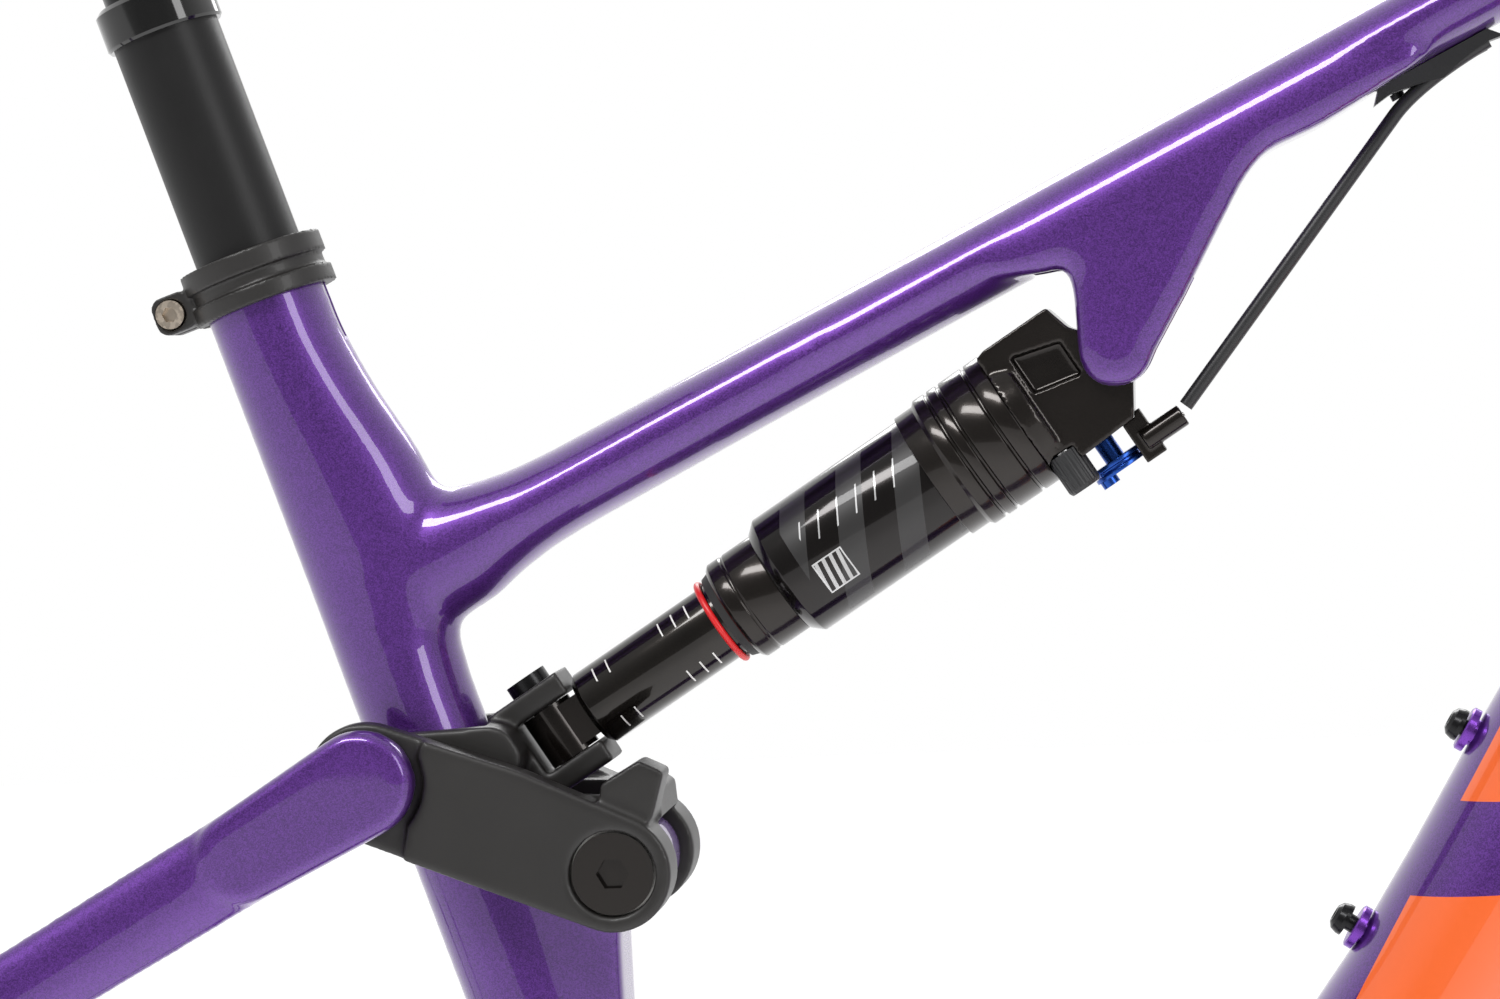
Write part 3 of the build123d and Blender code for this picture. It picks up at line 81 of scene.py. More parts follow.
BELLY_ALONG = Vector((0.5, 0.0, 0.866))


def top_point(x: float, offset: float = 0.0, y: float = 0.0) -> Vector:
    """A point on the top tube's axis at x, moved square to it and sideways."""
    return Vector((x, y, TOP_HEIGHT + x * tan(TOP_RISE))) + TOP_NORMAL * offset


def seat_point(height: float, forward: float = 0.0, y: float = 0.0) -> Vector:
    """A point placed along the seat tube's axis, ahead of it and sideways."""
    return SEAT_FOOT + SEAT_UP * height + SEAT_FORWARD * forward + SIDEWAYS * y


def shock_point(along: float, below: float = 0.0, y: float = 0.0) -> Vector:
    """A point placed along the shock from its lower eye, below its axis and sideways."""
    return SHOCK_EYE + SHOCK_UP * along + SHOCK_DOWN * below + SIDEWAYS * y


# ---- shader writing ------------------------------------------------------------------------------
class Value:
    """A shader socket that takes part in Python expressions."""

    def __init__(self, shader: "Shader", socket: bpy.types.NodeSocket) -> None:
        """Keep the socket and the shader that it belongs to."""
        self.shader = shader
        self.socket = socket

    def _math(self, operation: str, *values: "Value | float") -> "Value":
        """Add one Math node.

        Args:
            operation: The Math node's operation.
            values: What goes into its sockets, in order.

        Returns:
            The node's result.
        """
        return self.shader.node("ShaderNodeMath", {"operation": operation}, dict(enumerate(values)))

    def __add__(self, other: "Value | float") -> "Value":
        """Self plus other."""
        return self._math("ADD", self, other)

    def __radd__(self, other: float) -> "Value":
        """Other plus self."""
        return self._math("ADD", other, self)

    def __sub__(self, other: "Value | float") -> "Value":
        """Self minus other."""
        return self._math("SUBTRACT", self, other)

    def __rsub__(self, other: float) -> "Value":
        """Other minus self."""
        return self._math("SUBTRACT", other, self)

    def __mul__(self, other: "Value | float") -> "Value":
        """Self times other."""
        return self._math("MULTIPLY", self, other)

    def __rmul__(self, other: float) -> "Value":
        """Other times self."""
        return self._math("MULTIPLY", other, self)

    def __gt__(self, other: "Value | float") -> "Value":
        """One where self is greater."""
        return self._math("GREATER_THAN", self, other)

    def __lt__(self, other: "Value | float") -> "Value":
        """One where self is less."""
        return self._math("LESS_THAN", self, other)

    def size(self) -> "Value":
        """Self without its sign."""
        return self._math("ABSOLUTE", self)

    def wrapped(self, period: float) -> "Value":
        """Self, repeated from 0 to the period."""
        return self._math("WRAP", self, period, 0.0)


class Shader:
    """A new material and the nodes that it is made of."""

    def __init__(self, name: str) -> None:
        """Start a material with one Principled shader.

        Args:
            name: The material's name.
        """
        self.material = bpy.data.materials.new(name)
        self.material.use_nodes = True
        self.tree = self.material.node_tree
        self.surface = self.tree.nodes["Principled BSDF"]
        self.place = self.node("ShaderNodeTexCoord", {}, {}, "Object")

    def node(
        self, kind: str, settings: dict[str, Any], inputs: dict[Any, Any], output: "str | int" = 0
    ) -> Value:
        """Add a node.

        Args:
            kind: The node's type.
            settings: Its own settings, set first; a ramp's are its stops.
            inputs: Values or links, by socket name or number.
            output: The socket that is wanted.

        Returns:
            The wanted output.
        """
        made = self.tree.nodes.new(kind)
        for key, value in settings.items():
            if key == "stops":
                while len(made.color_ramp.elements) < len(value):
                    made.color_ramp.elements.new(0.5)
                for stop, (position, colour) in zip(made.color_ramp.elements, value):
                    stop.position = position
                    stop.color = (*colour, 1.0)
            else:
                setattr(made, key, value)
        for key, value in inputs.items():
            if isinstance(value, Value):
                self.tree.links.new(value.socket, made.inputs[key])
            else:
                made.inputs[key].default_value = value
        return Value(self, made.outputs[output])

    def along(self, origin: Vector, direction: Vector) -> Value:
        """Measure the surface along a direction.

        Args:
            origin: Where the distance is 0.
            direction: The direction, of length 1.

        Returns:
            The distance of a point of the surface from the origin.
        """
        moved = self.node("ShaderNodeVectorMath", {"operation": "SUBTRACT"}, {0: self.place, 1: origin})
        settings = {"operation": "DOT_PRODUCT"}
        return self.node("ShaderNodeVectorMath", settings, {0: moved, 1: direction}, "Value")

    def noise(self, scale: float, detail: float = 3.0) -> Value:
        """Soft noise on object coordinates, about 0 to 1."""
        inputs = {"Vector": self.place, "Scale": scale, "Detail": detail}
        return self.node("ShaderNodeTexNoise", {}, inputs, 0)

    def cells(self, scale: float) -> Value:
        """Divide the surface into small cells.

        Args:
            scale: Cells in a metre.

        Returns:
            One random number for each cell.
        """
        inputs = {"Vector": self.place, "Scale": scale}
        colour = self.node("ShaderNodeTexVoronoi", {}, inputs, "Color")
        return self.node("ShaderNodeSeparateColor", {}, {0: colour}, 0)

    def blend(self, share: "Value | float", low: Any, high: Any) -> Value:
        """A colour between two colours.

        Args:
            share: 0 for low, 1 for high.
            low: A colour or a link.
            high: A colour or a link.

        Returns:
            The mixed colour.
        """
        made = self.tree.nodes.new("ShaderNodeMix")
        made.data_type = "RGBA"
        for key, value in ((0, share), (6, low), (7, high)):
            if isinstance(value, Value):
                self.tree.links.new(value.socket, made.inputs[key])
            elif key == 0:
                made.inputs[key].default_value = value
            else:
                made.inputs[key].default_value = (*value, 1.0)
        return Value(self, made.outputs[2])

    def set(self, **values: Any) -> None:
        """Set or link sockets of the surface; an underscore stands for a space."""
        for key, value in values.items():
            socket = self.surface.inputs[key.replace("_", " ")]
            if isinstance(value, Value):
                self.tree.links.new(value.socket, socket)
            elif isinstance(value, tuple):
                socket.default_value = (*value, 1.0)
            else:
                socket.default_value = value

    def bump(self, height: Value, strength: float, distance: float) -> None:
        """Raise the surface by a height."""
        inputs = {"Strength": strength, "Distance": distance, "Height": height}
        self.set(Normal=self.node("ShaderNodeBump", {}, inputs))


Colour = tuple[float, float, float]


class Trim(Enum):
    """What is drawn on the flake paint."""

    PLAIN = "plain"
    BANDS = "bands"


@dataclass(frozen=True)
class FlakePaint:
    """Metallic flake paint under clear lacquer, with optional diagonal bands on the down tube."""

    name: str = "flake_paint"
    deep: Colour = (0.040, 0.005, 0.105)
    bright: Colour = (0.175, 0.045, 0.390)
    orange: Colour = (0.800, 0.115, 0.010)
    flake_scale: float = 3400.0
    band_period: float = 0.070
    trim: Trim = Trim.BANDS

    def build(self) -> bpy.types.Material:
        """Make the material.

        Returns:
            The new material.
        """
        shader = Shader(self.name)
        flake = shader.cells(self.flake_scale)
        cloud = shader.noise(14.0)
        share = flake * 0.50 + cloud * 0.35 - 0.06
        colour = shader.blend(share, self.deep, self.bright)
        metal: "Value | float" = 0.62
        if self.trim is Trim.BANDS:
            bands = self._bands(shader)
            colour = shader.blend(bands, colour, self.orange)
            metal = 0.62 - bands * 0.55
        shader.set(Base_Color=colour, Metallic=metal, Roughness=flake * 0.16 + 0.30)
        shader.set(Coat_Weight=1.0, Coat_Roughness=0.025, Coat_IOR=1.5)
        shader.bump(flake, 0.05, 0.0002)
        return shader.material

    def _bands(self, shader: Shader) -> Value:
        """One where a diagonal band covers the lower half of the down tube's sides.

        Args:
            shader: The paint's shader.

        Returns:
            The mask.
        """
        across = Vector((-0.866, 0.0, 0.5))
        run = shader.along(DOWN_BELLY, BELLY_ALONG)
        depth = shader.along(DOWN_BELLY, across)
        side_on = shader.along(Vector((0.0, 0.0, 0.0)), SIDEWAYS).size() > 0.009
        slanted = (run + depth * 0.62).wrapped(self.band_period) > self.band_period * 0.42
        reach = (run.size() < 0.165) * (depth.size() < 0.0215)
        return slanted * reach * side_on


@dataclass(frozen=True)
class Coating:
    """A thin even finish with fine grain: paint, anodising, moulded plastic or rubber."""

    name: str
    colour: Colour
    roughness: float
    metallic: float = 0.0
    coat: float = 0.0
    grain_scale: float = 1400.0
    grain: float = 0.06
    worn: float = 0.25

    def build(self) -> bpy.types.Material:
        """Make the material.

        Returns:
            The new material.
        """
        shader = Shader(self.name)
        grain = shader.noise(self.grain_scale, 4.0)
        cloud = shader.noise(35.0)
        lighter = tuple(min(1.0, c * (1.0 + self.worn) + 0.004) for c in self.colour)
        darker = tuple(c * (1.0 - self.worn) for c in self.colour)
        shader.set(Base_Color=shader.blend(cloud * 0.7 + grain * 0.3, darker, lighter))
        shader.set(Metallic=self.metallic, Coat_Weight=self.coat, Coat_Roughness=0.06)
        shader.set(Roughness=(cloud - 0.5) * 0.16 + (grain - 0.5) * 0.10 + self.roughness)
        shader.bump(grain, self.grain, 0.0003)
        return shader.material


@dataclass(frozen=True)
class TurnedMetal:
    """Machined or ground metal with fine turning marks about an axis."""

    name: str
    colour: Colour
    roughness: float
    axis: Vector = field(default_factory=lambda: SIDEWAYS.copy())
    pitch: float = 9000.0

    def build(self) -> bpy.types.Material:
        """Make the material.

        Returns:
            The new material.
        """
        shader = Shader(self.name)
        run = shader.along(Vector((0.0, 0.0, 0.0)), self.axis)
        turning = (run * self.pitch + shader.noise(600.0) * 0.8).wrapped(1.0)
        cloud = shader.noise(80.0)
        darker = tuple(c * 0.72 for c in self.colour)
        shader.set(Base_Color=shader.blend(cloud * 0.6 + turning * 0.4, darker, self.colour))
        shader.set(Metallic=1.0, Roughness=turning * 0.08 + cloud * 0.10 + self.roughness)
        shader.bump(turning, 0.05, 0.0001)
        return shader.material


@dataclass(frozen=True)
class ShaftAnodising:
    """Gloss black shaft with white travel marks on its near and far sides."""

    name: str = "shaft_anodised"
    first: float = 0.0180
    ring_group: float = 0.0400
    low_run: float = 1.4
    ring_run: float = 2.6
    reach_from: float = 0.52
    reach_to: float = 0.86
    chalk: Colour = (0.75, 0.74, 0.72)
    pitch: float = 0.0045
    mark: float = 0.00045
    radius: float = 0.01125

    def build(self) -> bpy.types.Material:
        """Make the material.

        Returns:
            The new material.
        """
        shader = Shader(self.name)
        run = shader.along(SHOCK_EYE, SHOCK_UP)
        height = shader.along(SHOCK_EYE, SHOCK_DOWN).size()
        line = (run - self.first).wrapped(self.pitch) < self.mark
        low = (run > self.first) * (run < self.first + self.low_run * self.pitch)
        high = (run > self.ring_group) * (run < self.ring_group + self.ring_run * self.pitch)
        reach = (height > self.radius * self.reach_from) * (height < self.radius * self.reach_to)
        marks = line * (low + high) * reach
        cloud = shader.noise(60.0)
        black = shader.blend(cloud, (0.006, 0.005, 0.004), (0.02, 0.016, 0.013))
        shader.set(Base_Color=shader.blend(marks, black, self.chalk))
        shader.set(Metallic=0.75 - marks * 0.75, Roughness=cloud * 0.06 + 0.14 + marks * 0.3)
        shader.set(Coat_Weight=0.5, Coat_Roughness=0.03)
        return shader.material


@dataclass(frozen=True)
class CanAnodising:
    """Gloss black can with matt diagonal shapes, fine white lines and a small plain label."""

    name: str = "can_anodised"
    start: float = 0.0788

    def build(self) -> bpy.types.Material:
        """Make the material.

        Returns:
            The new material.
        """
        shader = Shader(self.name)
        run = shader.along(shock_point(self.start), SHOCK_UP)
        height = shader.along(SHOCK_EYE, SHOCK_DOWN)
        near = shader.along(Vector((0.0, 0.0, 0.0)), SIDEWAYS) < -0.006
        slant = run + height * 0.55
        matt = (slant.wrapped(0.019) < 0.0085) * (run > 0.006) * (run < 0.052) * near
        lines = (slant.wrapped(0.0063) < 0.0005) * (height > -0.0105) * (height < -0.0035)
        lines = lines * (run > 0.010) * (run < 0.044) * near
        frame_out = ((run - 0.0135).size() < 0.0048) * ((height - 0.0062).size() < 0.0048)
        frame_in = ((run - 0.0135).size() < 0.0044) * ((height - 0.0062).size() < 0.0044)
        bars = ((run + height * 0.15).wrapped(0.0024) < 0.0011) * frame_in
        label = (frame_out - frame_in + bars * 0.8) * near
        white = lines + label
        cloud = shader.noise(50.0)
        base = shader.blend(cloud, (0.005, 0.004, 0.004), (0.016, 0.013, 0.012))
        base = shader.blend(matt, base, (0.022, 0.021, 0.021))
        shader.set(Base_Color=shader.blend(white, base, (0.55, 0.55, 0.55)))
        shader.set(Metallic=0.7 - matt * 0.4 - white * 0.3, Roughness=matt * 0.28 + cloud * 0.05 + 0.12)
        shader.set(Coat_Weight=0.35, Coat_Roughness=0.04)
        return shader.material


class Finish(Enum):
    """Every finish of the frame."""

    PAINT = FlakePaint()
    PLAIN_PAINT = FlakePaint(name="flake_paint_plain", trim=Trim.PLAIN)
    SATIN = Coating("satin_black_paint", (0.0085, 0.0073, 0.0065), 0.46, coat=0.08)
    GLOSS = Coating(
        "gloss_black_anodised", (0.016, 0.0125, 0.0105), 0.20, metallic=0.7, coat=0.3, grain=0.01
    )
    POST = Coating(
        "matt_post_anodised", (0.0055, 0.0052, 0.0055), 0.42, metallic=0.4, grain_scale=5200.0, grain=0.10
    )
    COLLAR = Coating("gloss_collar", (0.006, 0.006, 0.006), 0.10, metallic=0.4, coat=0.6, grain=0.01)
    PLASTIC = Coating("black_moulding", (0.013, 0.013, 0.014), 0.38, grain_scale=2600.0, grain=0.10)
    RUBBER = Coating("black_rubber", (0.011, 0.011, 0.011), 0.62, grain_scale=3000.0, grain=0.12)
    RED = Coating("red_rubber", (0.62, 0.010, 0.012), 0.36, grain=0.04)
    BLUE = Coating("blue_anodised", (0.018, 0.075, 0.36), 0.26, metallic=0.85, grain=0.02)
    VIOLET = Coating("violet_anodised", (0.16, 0.045, 0.36), 0.24, metallic=0.85, grain=0.02)
    OXIDE = Coating("black_oxide_steel", (0.016, 0.016, 0.017), 0.24, metallic=0.8, grain=0.02)
    STEEL = TurnedMetal("ground_steel", (0.50, 0.49, 0.47), 0.22)
    BARE = TurnedMetal("turned_aluminium", (0.68, 0.68, 0.68), 0.26)
    CHAMPAGNE = TurnedMetal("champagne_aluminium", (0.66, 0.57, 0.47), 0.24)
    CABLE = TurnedMetal("cable_strands", (0.42, 0.41, 0.40), 0.30, SHOCK_UP.copy(), 2500.0)
    SHAFT = ShaftAnodising()
    CAN = CanAnodising()


class Workshop:
    """Makes meshes, dresses them and hands them to the frame."""

    def __init__(self, nodes: dict[str, bpy.types.Object]) -> None:
        """Keep the CAD nodes and start with no finishes made."""
        self.nodes = nodes
        self.made: dict[Finish, bpy.types.Material] = {}

    def finish(self, kind: Finish) -> bpy.types.Material:
        """A finish's material, made once."""
        if kind not in self.made:
            self.made[kind] = kind.value.build()
        return self.made[kind]

    def dress(self, kind: Finish, *names: str) -> None:
        """Give CAD nodes a finish."""
        for name in names:
            for slot in self.nodes[name].material_slots:
                slot.material = self.finish(kind)

    def piece(
        self, name: str, mesh: bpy.types.Mesh, kind: Finish, body: str, slot: str, replaced: Sequence[str]
    ) -> bpy.types.Object:
        """Place a finished mesh on its body.

        Args:
            name: The piece's name.
            mesh: Its mesh, in place.
            kind: Its finish.
            body: The CAD body that it rides on.
            slot: The name of a material slot; not used.
            replaced: The CAD nodes that it stands for.

        Returns:
            The piece.
        """
        mesh.materials.clear()
        mesh.materials.append(self.finish(kind))
        mesh.polygons.foreach_set("use_smooth", [True] * len(mesh.polygons))
        made = bpy.data.objects.new(name, mesh)
        bpy.context.scene.collection.objects.link(made)
        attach(made, body)
        if replaced:
            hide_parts(*replaced)
        LOG.info("%s: %d faces", name, len(mesh.polygons))
        return made

    def copy_of(self, names: Iterable[str]) -> bmesh.types.BMesh:
        """Copy CAD nodes' meshes into one.

        Args:
            names: The nodes.

        Returns:
            The copy, with doubled points merged.
        """
        bm = bmesh.new()
        for name in names:
            bm.from_mesh(self.nodes[name].data)
        bmesh.ops.remove_doubles(bm, verts=bm.verts, dist=1e-6)
        return bm

    def moulded(
        self, bm: bmesh.types.BMesh, voxel: float, rounds: int, cuts: Sequence[bmesh.types.BMesh] = ()
    ) -> bpy.types.Mesh:
        """Fuse closed shapes into one skin with soft edges, then cut its bores.

        Args:
            bm: The closed shapes, which it uses up.
            voxel: The skin's grain, in metres.
            rounds: How often the skin is smoothed.
            cuts: Shapes taken away from the skin, which it uses up.

        Returns:
            The finished mesh.
        """
        source = bpy.data.meshes.new("source")
        bm.to_mesh(source)
        bm.free()
        work = bpy.data.objects.new("work", source)
        bpy.context.scene.collection.objects.link(work)
        skin = work.modifiers.new("skin", "REMESH")
        skin.mode = "VOXEL"
        skin.voxel_size = voxel
        soft = work.modifiers.new("soft", "SMOOTH")
        soft.factor = 0.5
        soft.iterations = rounds
        cutters = []
        for number, shape in enumerate(cuts):
            mesh = bpy.data.meshes.new(f"cut_{number}")
            shape.to_mesh(mesh)
            shape.free()
            cutter = bpy.data.objects.new(f"cut_{number}", mesh)
            bpy.context.scene.collection.objects.link(cutter)
            cutters.append(cutter)
            bite = work.modifiers.new(f"bite_{number}", "BOOLEAN")
            bite.operation = "DIFFERENCE"
            bite.solver = "EXACT"
            bite.object = cutter
        bpy.context.view_layer.update()
        graph = bpy.context.evaluated_depsgraph_get()
        result = bpy.data.meshes.new_from_object(work.evaluated_get(graph))
        for thing in (work, *cutters):
            mesh = thing.data
            bpy.data.objects.remove(thing)
            bpy.data.meshes.remove(mesh)
        return result


# ---- shapes --------------------------------------------------------------------------------------
def frame_at(origin: Vector, along: Vector) -> Matrix:
    """Stand a matrix on a direction of the side view.

    Args:
        origin: Its place.
        along: The direction that its Z takes.

    Returns:
        The matrix, whose X is sideways.
    """
    z = along.normalized()
    x = SIDEWAYS
    y = z.cross(x)
    return Matrix((
        (x.x, y.x, z.x, origin.x), (x.y, y.y, z.y, origin.y), (x.z, y.z, z.z, origin.z), (0.0, 0.0, 0.0, 1.0)
    ))


@dataclass(frozen=True)
class Station:
    """One cross-section of a tube."""

    centre: Vector
    along: Vector
    half_width: float
    half_depth: float


def add_tube(bm: bmesh.types.BMesh, stations: Sequence[Station], segments: int = 40) -> None:
    """Bridge elliptical loops into a closed tube.

    Args:
        bm: The mesh that gets the tube.
        stations: Its cross-sections, in order.
        segments: Points round each loop.
    """
    loops = []
    for station in stations:
        made = bmesh.ops.create_circle(bm, cap_ends=False, radius=1.0, segments=segments)
        scale = Matrix.Diagonal((station.half_width, station.half_depth, 1.0, 1.0))
        matrix = frame_at(station.centre, station.along) @ scale
        bmesh.ops.transform(bm, matrix=matrix, verts=made["verts"])
        loops.append(list({edge for vert in made["verts"] for edge in vert.link_edges}))
    for low, high in zip(loops, loops[1:]):
        bmesh.ops.bridge_loops(bm, edges=low + high)
    for end in (loops[0], loops[-1]):
        bmesh.ops.contextual_create(bm, geom=end)
    bmesh.ops.recalc_face_normals(bm, faces=bm.faces)


def add_plate(bm: bmesh.types.BMesh, outline: Sequence[Vector], low: float, high: float) -> None:
    """Extrude an outline of the side view from one side to the other.

    Args:
        bm: The mesh that gets the plate.
        outline: Its corners, in order.
        low: The right face's Y.
        high: The left face's Y.
    """
    verts = [bm.verts.new((point.x, low, point.z)) for point in outline]
    face = bm.faces.new(verts)
    made = bmesh.ops.extrude_face_region(bm, geom=[face])
    moved = [item for item in made["geom"] if isinstance(item, bmesh.types.BMVert)]
    bmesh.ops.translate(bm, verts=moved, vec=(0.0, high - low, 0.0))
    bmesh.ops.recalc_face_normals(bm, faces=bm.faces)


def add_rod(
    bm: bmesh.types.BMesh, origin: Vector, along: Vector, radius: float, length: float, segments: int = 64
) -> None:
    """Add a closed rod.

    Args:
        bm: What it is added to.
        origin: The middle of its first end.
        along: The axis's direction.
        radius: Its radius.
        length: Its length.
        segments: How many sides it has.
    """
    z = along.normalized()
    turn = Vector((0.0, 0.0, 1.0)).rotation_difference(z).to_matrix().to_4x4()
    matrix = Matrix.Translation(origin + z * (length / 2)) @ turn
    bmesh.ops.create_cone(
        bm, cap_ends=True, segments=segments, radius1=radius, radius2=radius, depth=length, matrix=matrix
    )


def spun(origin: Vector, along: Vector, profile: Sequence[tuple[float, float]], bevel: float = 0.0002,
         steps: int = 96) -> bmesh.types.BMesh:
    """Turn a closed profile about an axis and soften its corners.

    Args:
        origin: Where the axis starts.
        along: The axis's direction.
        profile: Radius and height of each corner, in order.
        bevel: How wide the soft corners are.
        steps: Steps round the axis.

    Returns:
        The closed shape.
    """
    bm = bmesh.new()
    matrix = frame_at(origin, along)
    verts = [bm.verts.new(matrix @ Vector((radius, 0.0, height))) for radius, height in profile]
    edges = [bm.edges.new((a, b)) for a, b in zip(verts, verts[1:] + verts[:1])]
    if bevel > 0:
        bmesh.ops.bevel(
            bm, geom=verts, offset=bevel, segments=2, profile=0.5, affect="VERTICES", material=-1
        )
        edges = list(bm.edges)
    axis = matrix.to_3x3() @ Vector((0.0, 0.0, 1.0))
    bmesh.ops.spin(
        bm, geom=list(bm.verts) + list(bm.edges), cent=origin, axis=axis, angle=2 * pi, steps=steps,
        use_merge=True,
    )
    bmesh.ops.remove_doubles(bm, verts=bm.verts, dist=1e-6)
    bmesh.ops.recalc_face_normals(bm, faces=bm.faces)
    return bm


def knurl(
    bm: bmesh.types.BMesh, origin: Vector, along: Vector, beyond: float, depth: float, count: int
) -> None:
    """Press grooves along an axis into the rim of a turned shape.

    Args:
        bm: The shape.
        origin: A point of its axis.
        along: Its axis.
        beyond: Only points further out than this are moved.
        depth: How deep the grooves are.
        count: How many there are.
    """
    back = frame_at(origin, along).inverted()
    for vert in bm.verts:
        local = back @ vert.co
        out = Vector((local.x, local.y, 0.0))
        if out.length > beyond:
            wave = (1.0 - cos(count * atan2(local.y, local.x))) / 2
            local -= out.normalized() * (depth * wave)
            vert.co = frame_at(origin, along) @ local


def as_mesh(bm: bmesh.types.BMesh, name: str) -> bpy.types.Mesh:
    """Turn a bmesh into a mesh.

    Args:
        bm: The shape, which it uses up.
        name: The mesh's name.

    Returns:
        The mesh.
    """
    mesh = bpy.data.meshes.new(name)
    bm.to_mesh(mesh)
    bm.free()
    return mesh


def bore(origin: Vector, along: Vector, radius: float, length: float) -> bmesh.types.BMesh:
    """Make a rod to cut a bore with.

    Args:
        origin: The middle of its first end.
        along: The bore's direction.
        radius: The bore's radius.
        length: The rod's length.

    Returns:
        The rod.
    """
    bm = bmesh.new()
    add_rod(bm, origin, along, radius, length)
    return bm


def across(point: Vector, radius: float, half: float) -> bmesh.types.BMesh:
    """A rod across the frame to cut a pivot's bore with."""
    return bore(point - SIDEWAYS * half, SIDEWAYS, radius, 2 * half)


# ---- front frame ---------------------------------------------------------------------------------
@dataclass
class FrontFrame:
    """The moulded front triangle as one painted skin."""

    shop: Workshop
    voxel: float = 0.0021
    rounds: int = 18
    seat_half_width: float = 0.0176
    top_half_depth: float = 0.0116
    top_half_width: float = 0.0195
    down_half_width: float = 0.029
    down_half_depth: float = 0.026
    cheek_inner: float = 0.0152
    cheek_outer: float = 0.0204
    shell_half: float = 0.046

    def build(self) -> None:
        """Make the skin and dress it."""
        bm = bmesh.new()
        self._seat_tube(bm)
        self._top_tube(bm)
        self._down_tube(bm)
        self._head_tube(bm)
        self._shock_mount(bm)
        self._lower_end(bm)
        mesh = self.shop.moulded(bm, self.voxel, self.rounds, self._cuts())
        replaced = ("head_tube", "top_tube", "down_tube", "seat_tube", "bb_shell")
        self.shop.piece("front_frame_shell", mesh, Finish.PAINT, "front_frame", "violet_paint", replaced)

    def _seat_tube(self, bm: bmesh.types.BMesh) -> None:
        """The round seat tube and the web that carries the link pivot.

        Args:
            bm: What it is added to.
        """
        heights = (
            0.030, 0.120, 0.240, 0.300, 0.314, 0.322, 0.340, 0.3654, 0.3755, 0.386, 0.395, 0.406, 0.430,
        )
        fronts = (
            0.0175, 0.0172, 0.0168, 0.0167, 0.0178, 0.0218, 0.0290, 0.0258, 0.0234, 0.0208, 0.0191, 0.0176,
            0.0174,
        )
        rear = 0.0178
        stations = [
            Station(seat_point(h, (f - rear) / 2), SEAT_UP, self.seat_half_width, (f + rear) / 2)
            for h, f in zip(heights, fronts)
        ]
        add_tube(bm, stations, 56)
        x, z = LINK_PIVOT.x, LINK_PIVOT.z
        outline = [
            seat_point(0.264, 0.010), seat_point(0.252, 0.019), Vector((x - 0.002, 0, z + 0.012)),
            Vector((x - 0.0015, 0, 0.166)), Vector((x + 0.004, 0, 0.120)), seat_point(0.100, 0.010),
            seat_point(0.100, 0.0), seat_point(0.264, 0.0),
        ]
        add_plate(bm, outline, -0.0155, 0.0155)
        add_rod(bm, LINK_PIVOT - SIDEWAYS * 0.018, SIDEWAYS, 0.0135, 0.036)

    def _top_tube(self, bm: bmesh.types.BMesh) -> None:
        """The sloping top tube, deeper at both ends.

        Args:
            bm: What it is added to.
        """
        start = seat_point(SEAT_TOP * 0.74).x
        span = HEAD_MIDDLE.x - start
        shares = (0.0, 0.045, 0.062, 0.082, 0.105, 0.2, 0.35, 0.5, 0.7, 0.85, 0.96)
        widths = (0.82, 0.84, 0.86, 0.88, 0.90, 0.96, 1.0, 1.0, 1.0, 1.08, 1.14)
        depths = (0.0190, 0.0172, 0.0145, 0.0126, 0.0119, 0.0115, 0.0113, 0.0111, 0.0113, 0.0136, 0.0186)
        stations = [
            Station(top_point(start + s * span), TOP_ALONG, w * self.top_half_width, d)
            for s, w, d in zip(shares, widths, depths)
        ]
        add_tube(bm, stations)

    def _down_path(self, share: float) -> tuple[Vector, Vector]:
        """The down tube's centre and direction.

        Args:
            share: 0 at the bottom bracket, 1 at the head tube.

        Returns:
            The point and the direction.
        """
        head_end = HEAD_MIDDLE - HEAD_UP * (HEAD_LENGTH / 2 - 0.016)
        knots = (
            (Vector((0, 0, 0)), Vector((0.93, 0, 0.37))), (DOWN_BELLY, BELLY_ALONG),
            (head_end, Vector((0.63, 0, 0.777))),
        )
        half = 0 if share < 0.5 else 1
        t = share * 2 - half
        (a, u), (b, v) = knots[half], knots[half + 1]
        reach = (b - a).length
        u, v = u.normalized() * reach, v.normalized() * reach
        point = a * (2 * t**3 - 3 * t**2 + 1) + u * (t**3 - 2 * t**2 + t)
        point = point + b * (3 * t**2 - 2 * t**3) + v * (t**3 - t**2)
        slope = a * (6 * t**2 - 6 * t) + u * (3 * t**2 - 4 * t + 1)
        slope = slope + b * (6 * t - 6 * t**2) + v * (3 * t**2 - 2 * t)
        return point, slope.normalized()

    def _down_tube(self, bm: bmesh.types.BMesh) -> None:
        """The deep down tube, bellied forward.

        Args:
            bm: What it is added to.
        """
        steps = 20
        stations = []
        for step in range(steps + 1):
            share = step / steps
            point, along = self._down_path(share)
            start = max(0.0, 1.0 - share / 0.25)
            end = max(0.0, (share - 0.75) / 0.25)
            width = self.down_half_width * (1.0 + 0.03 * start - 0.15 * end)
            depth = self.down_half_depth * (1.0 - 0.26 * start - 0.10 * end)
            stations.append(Station(point, along, width, depth))
        add_tube(bm, stations, 56)

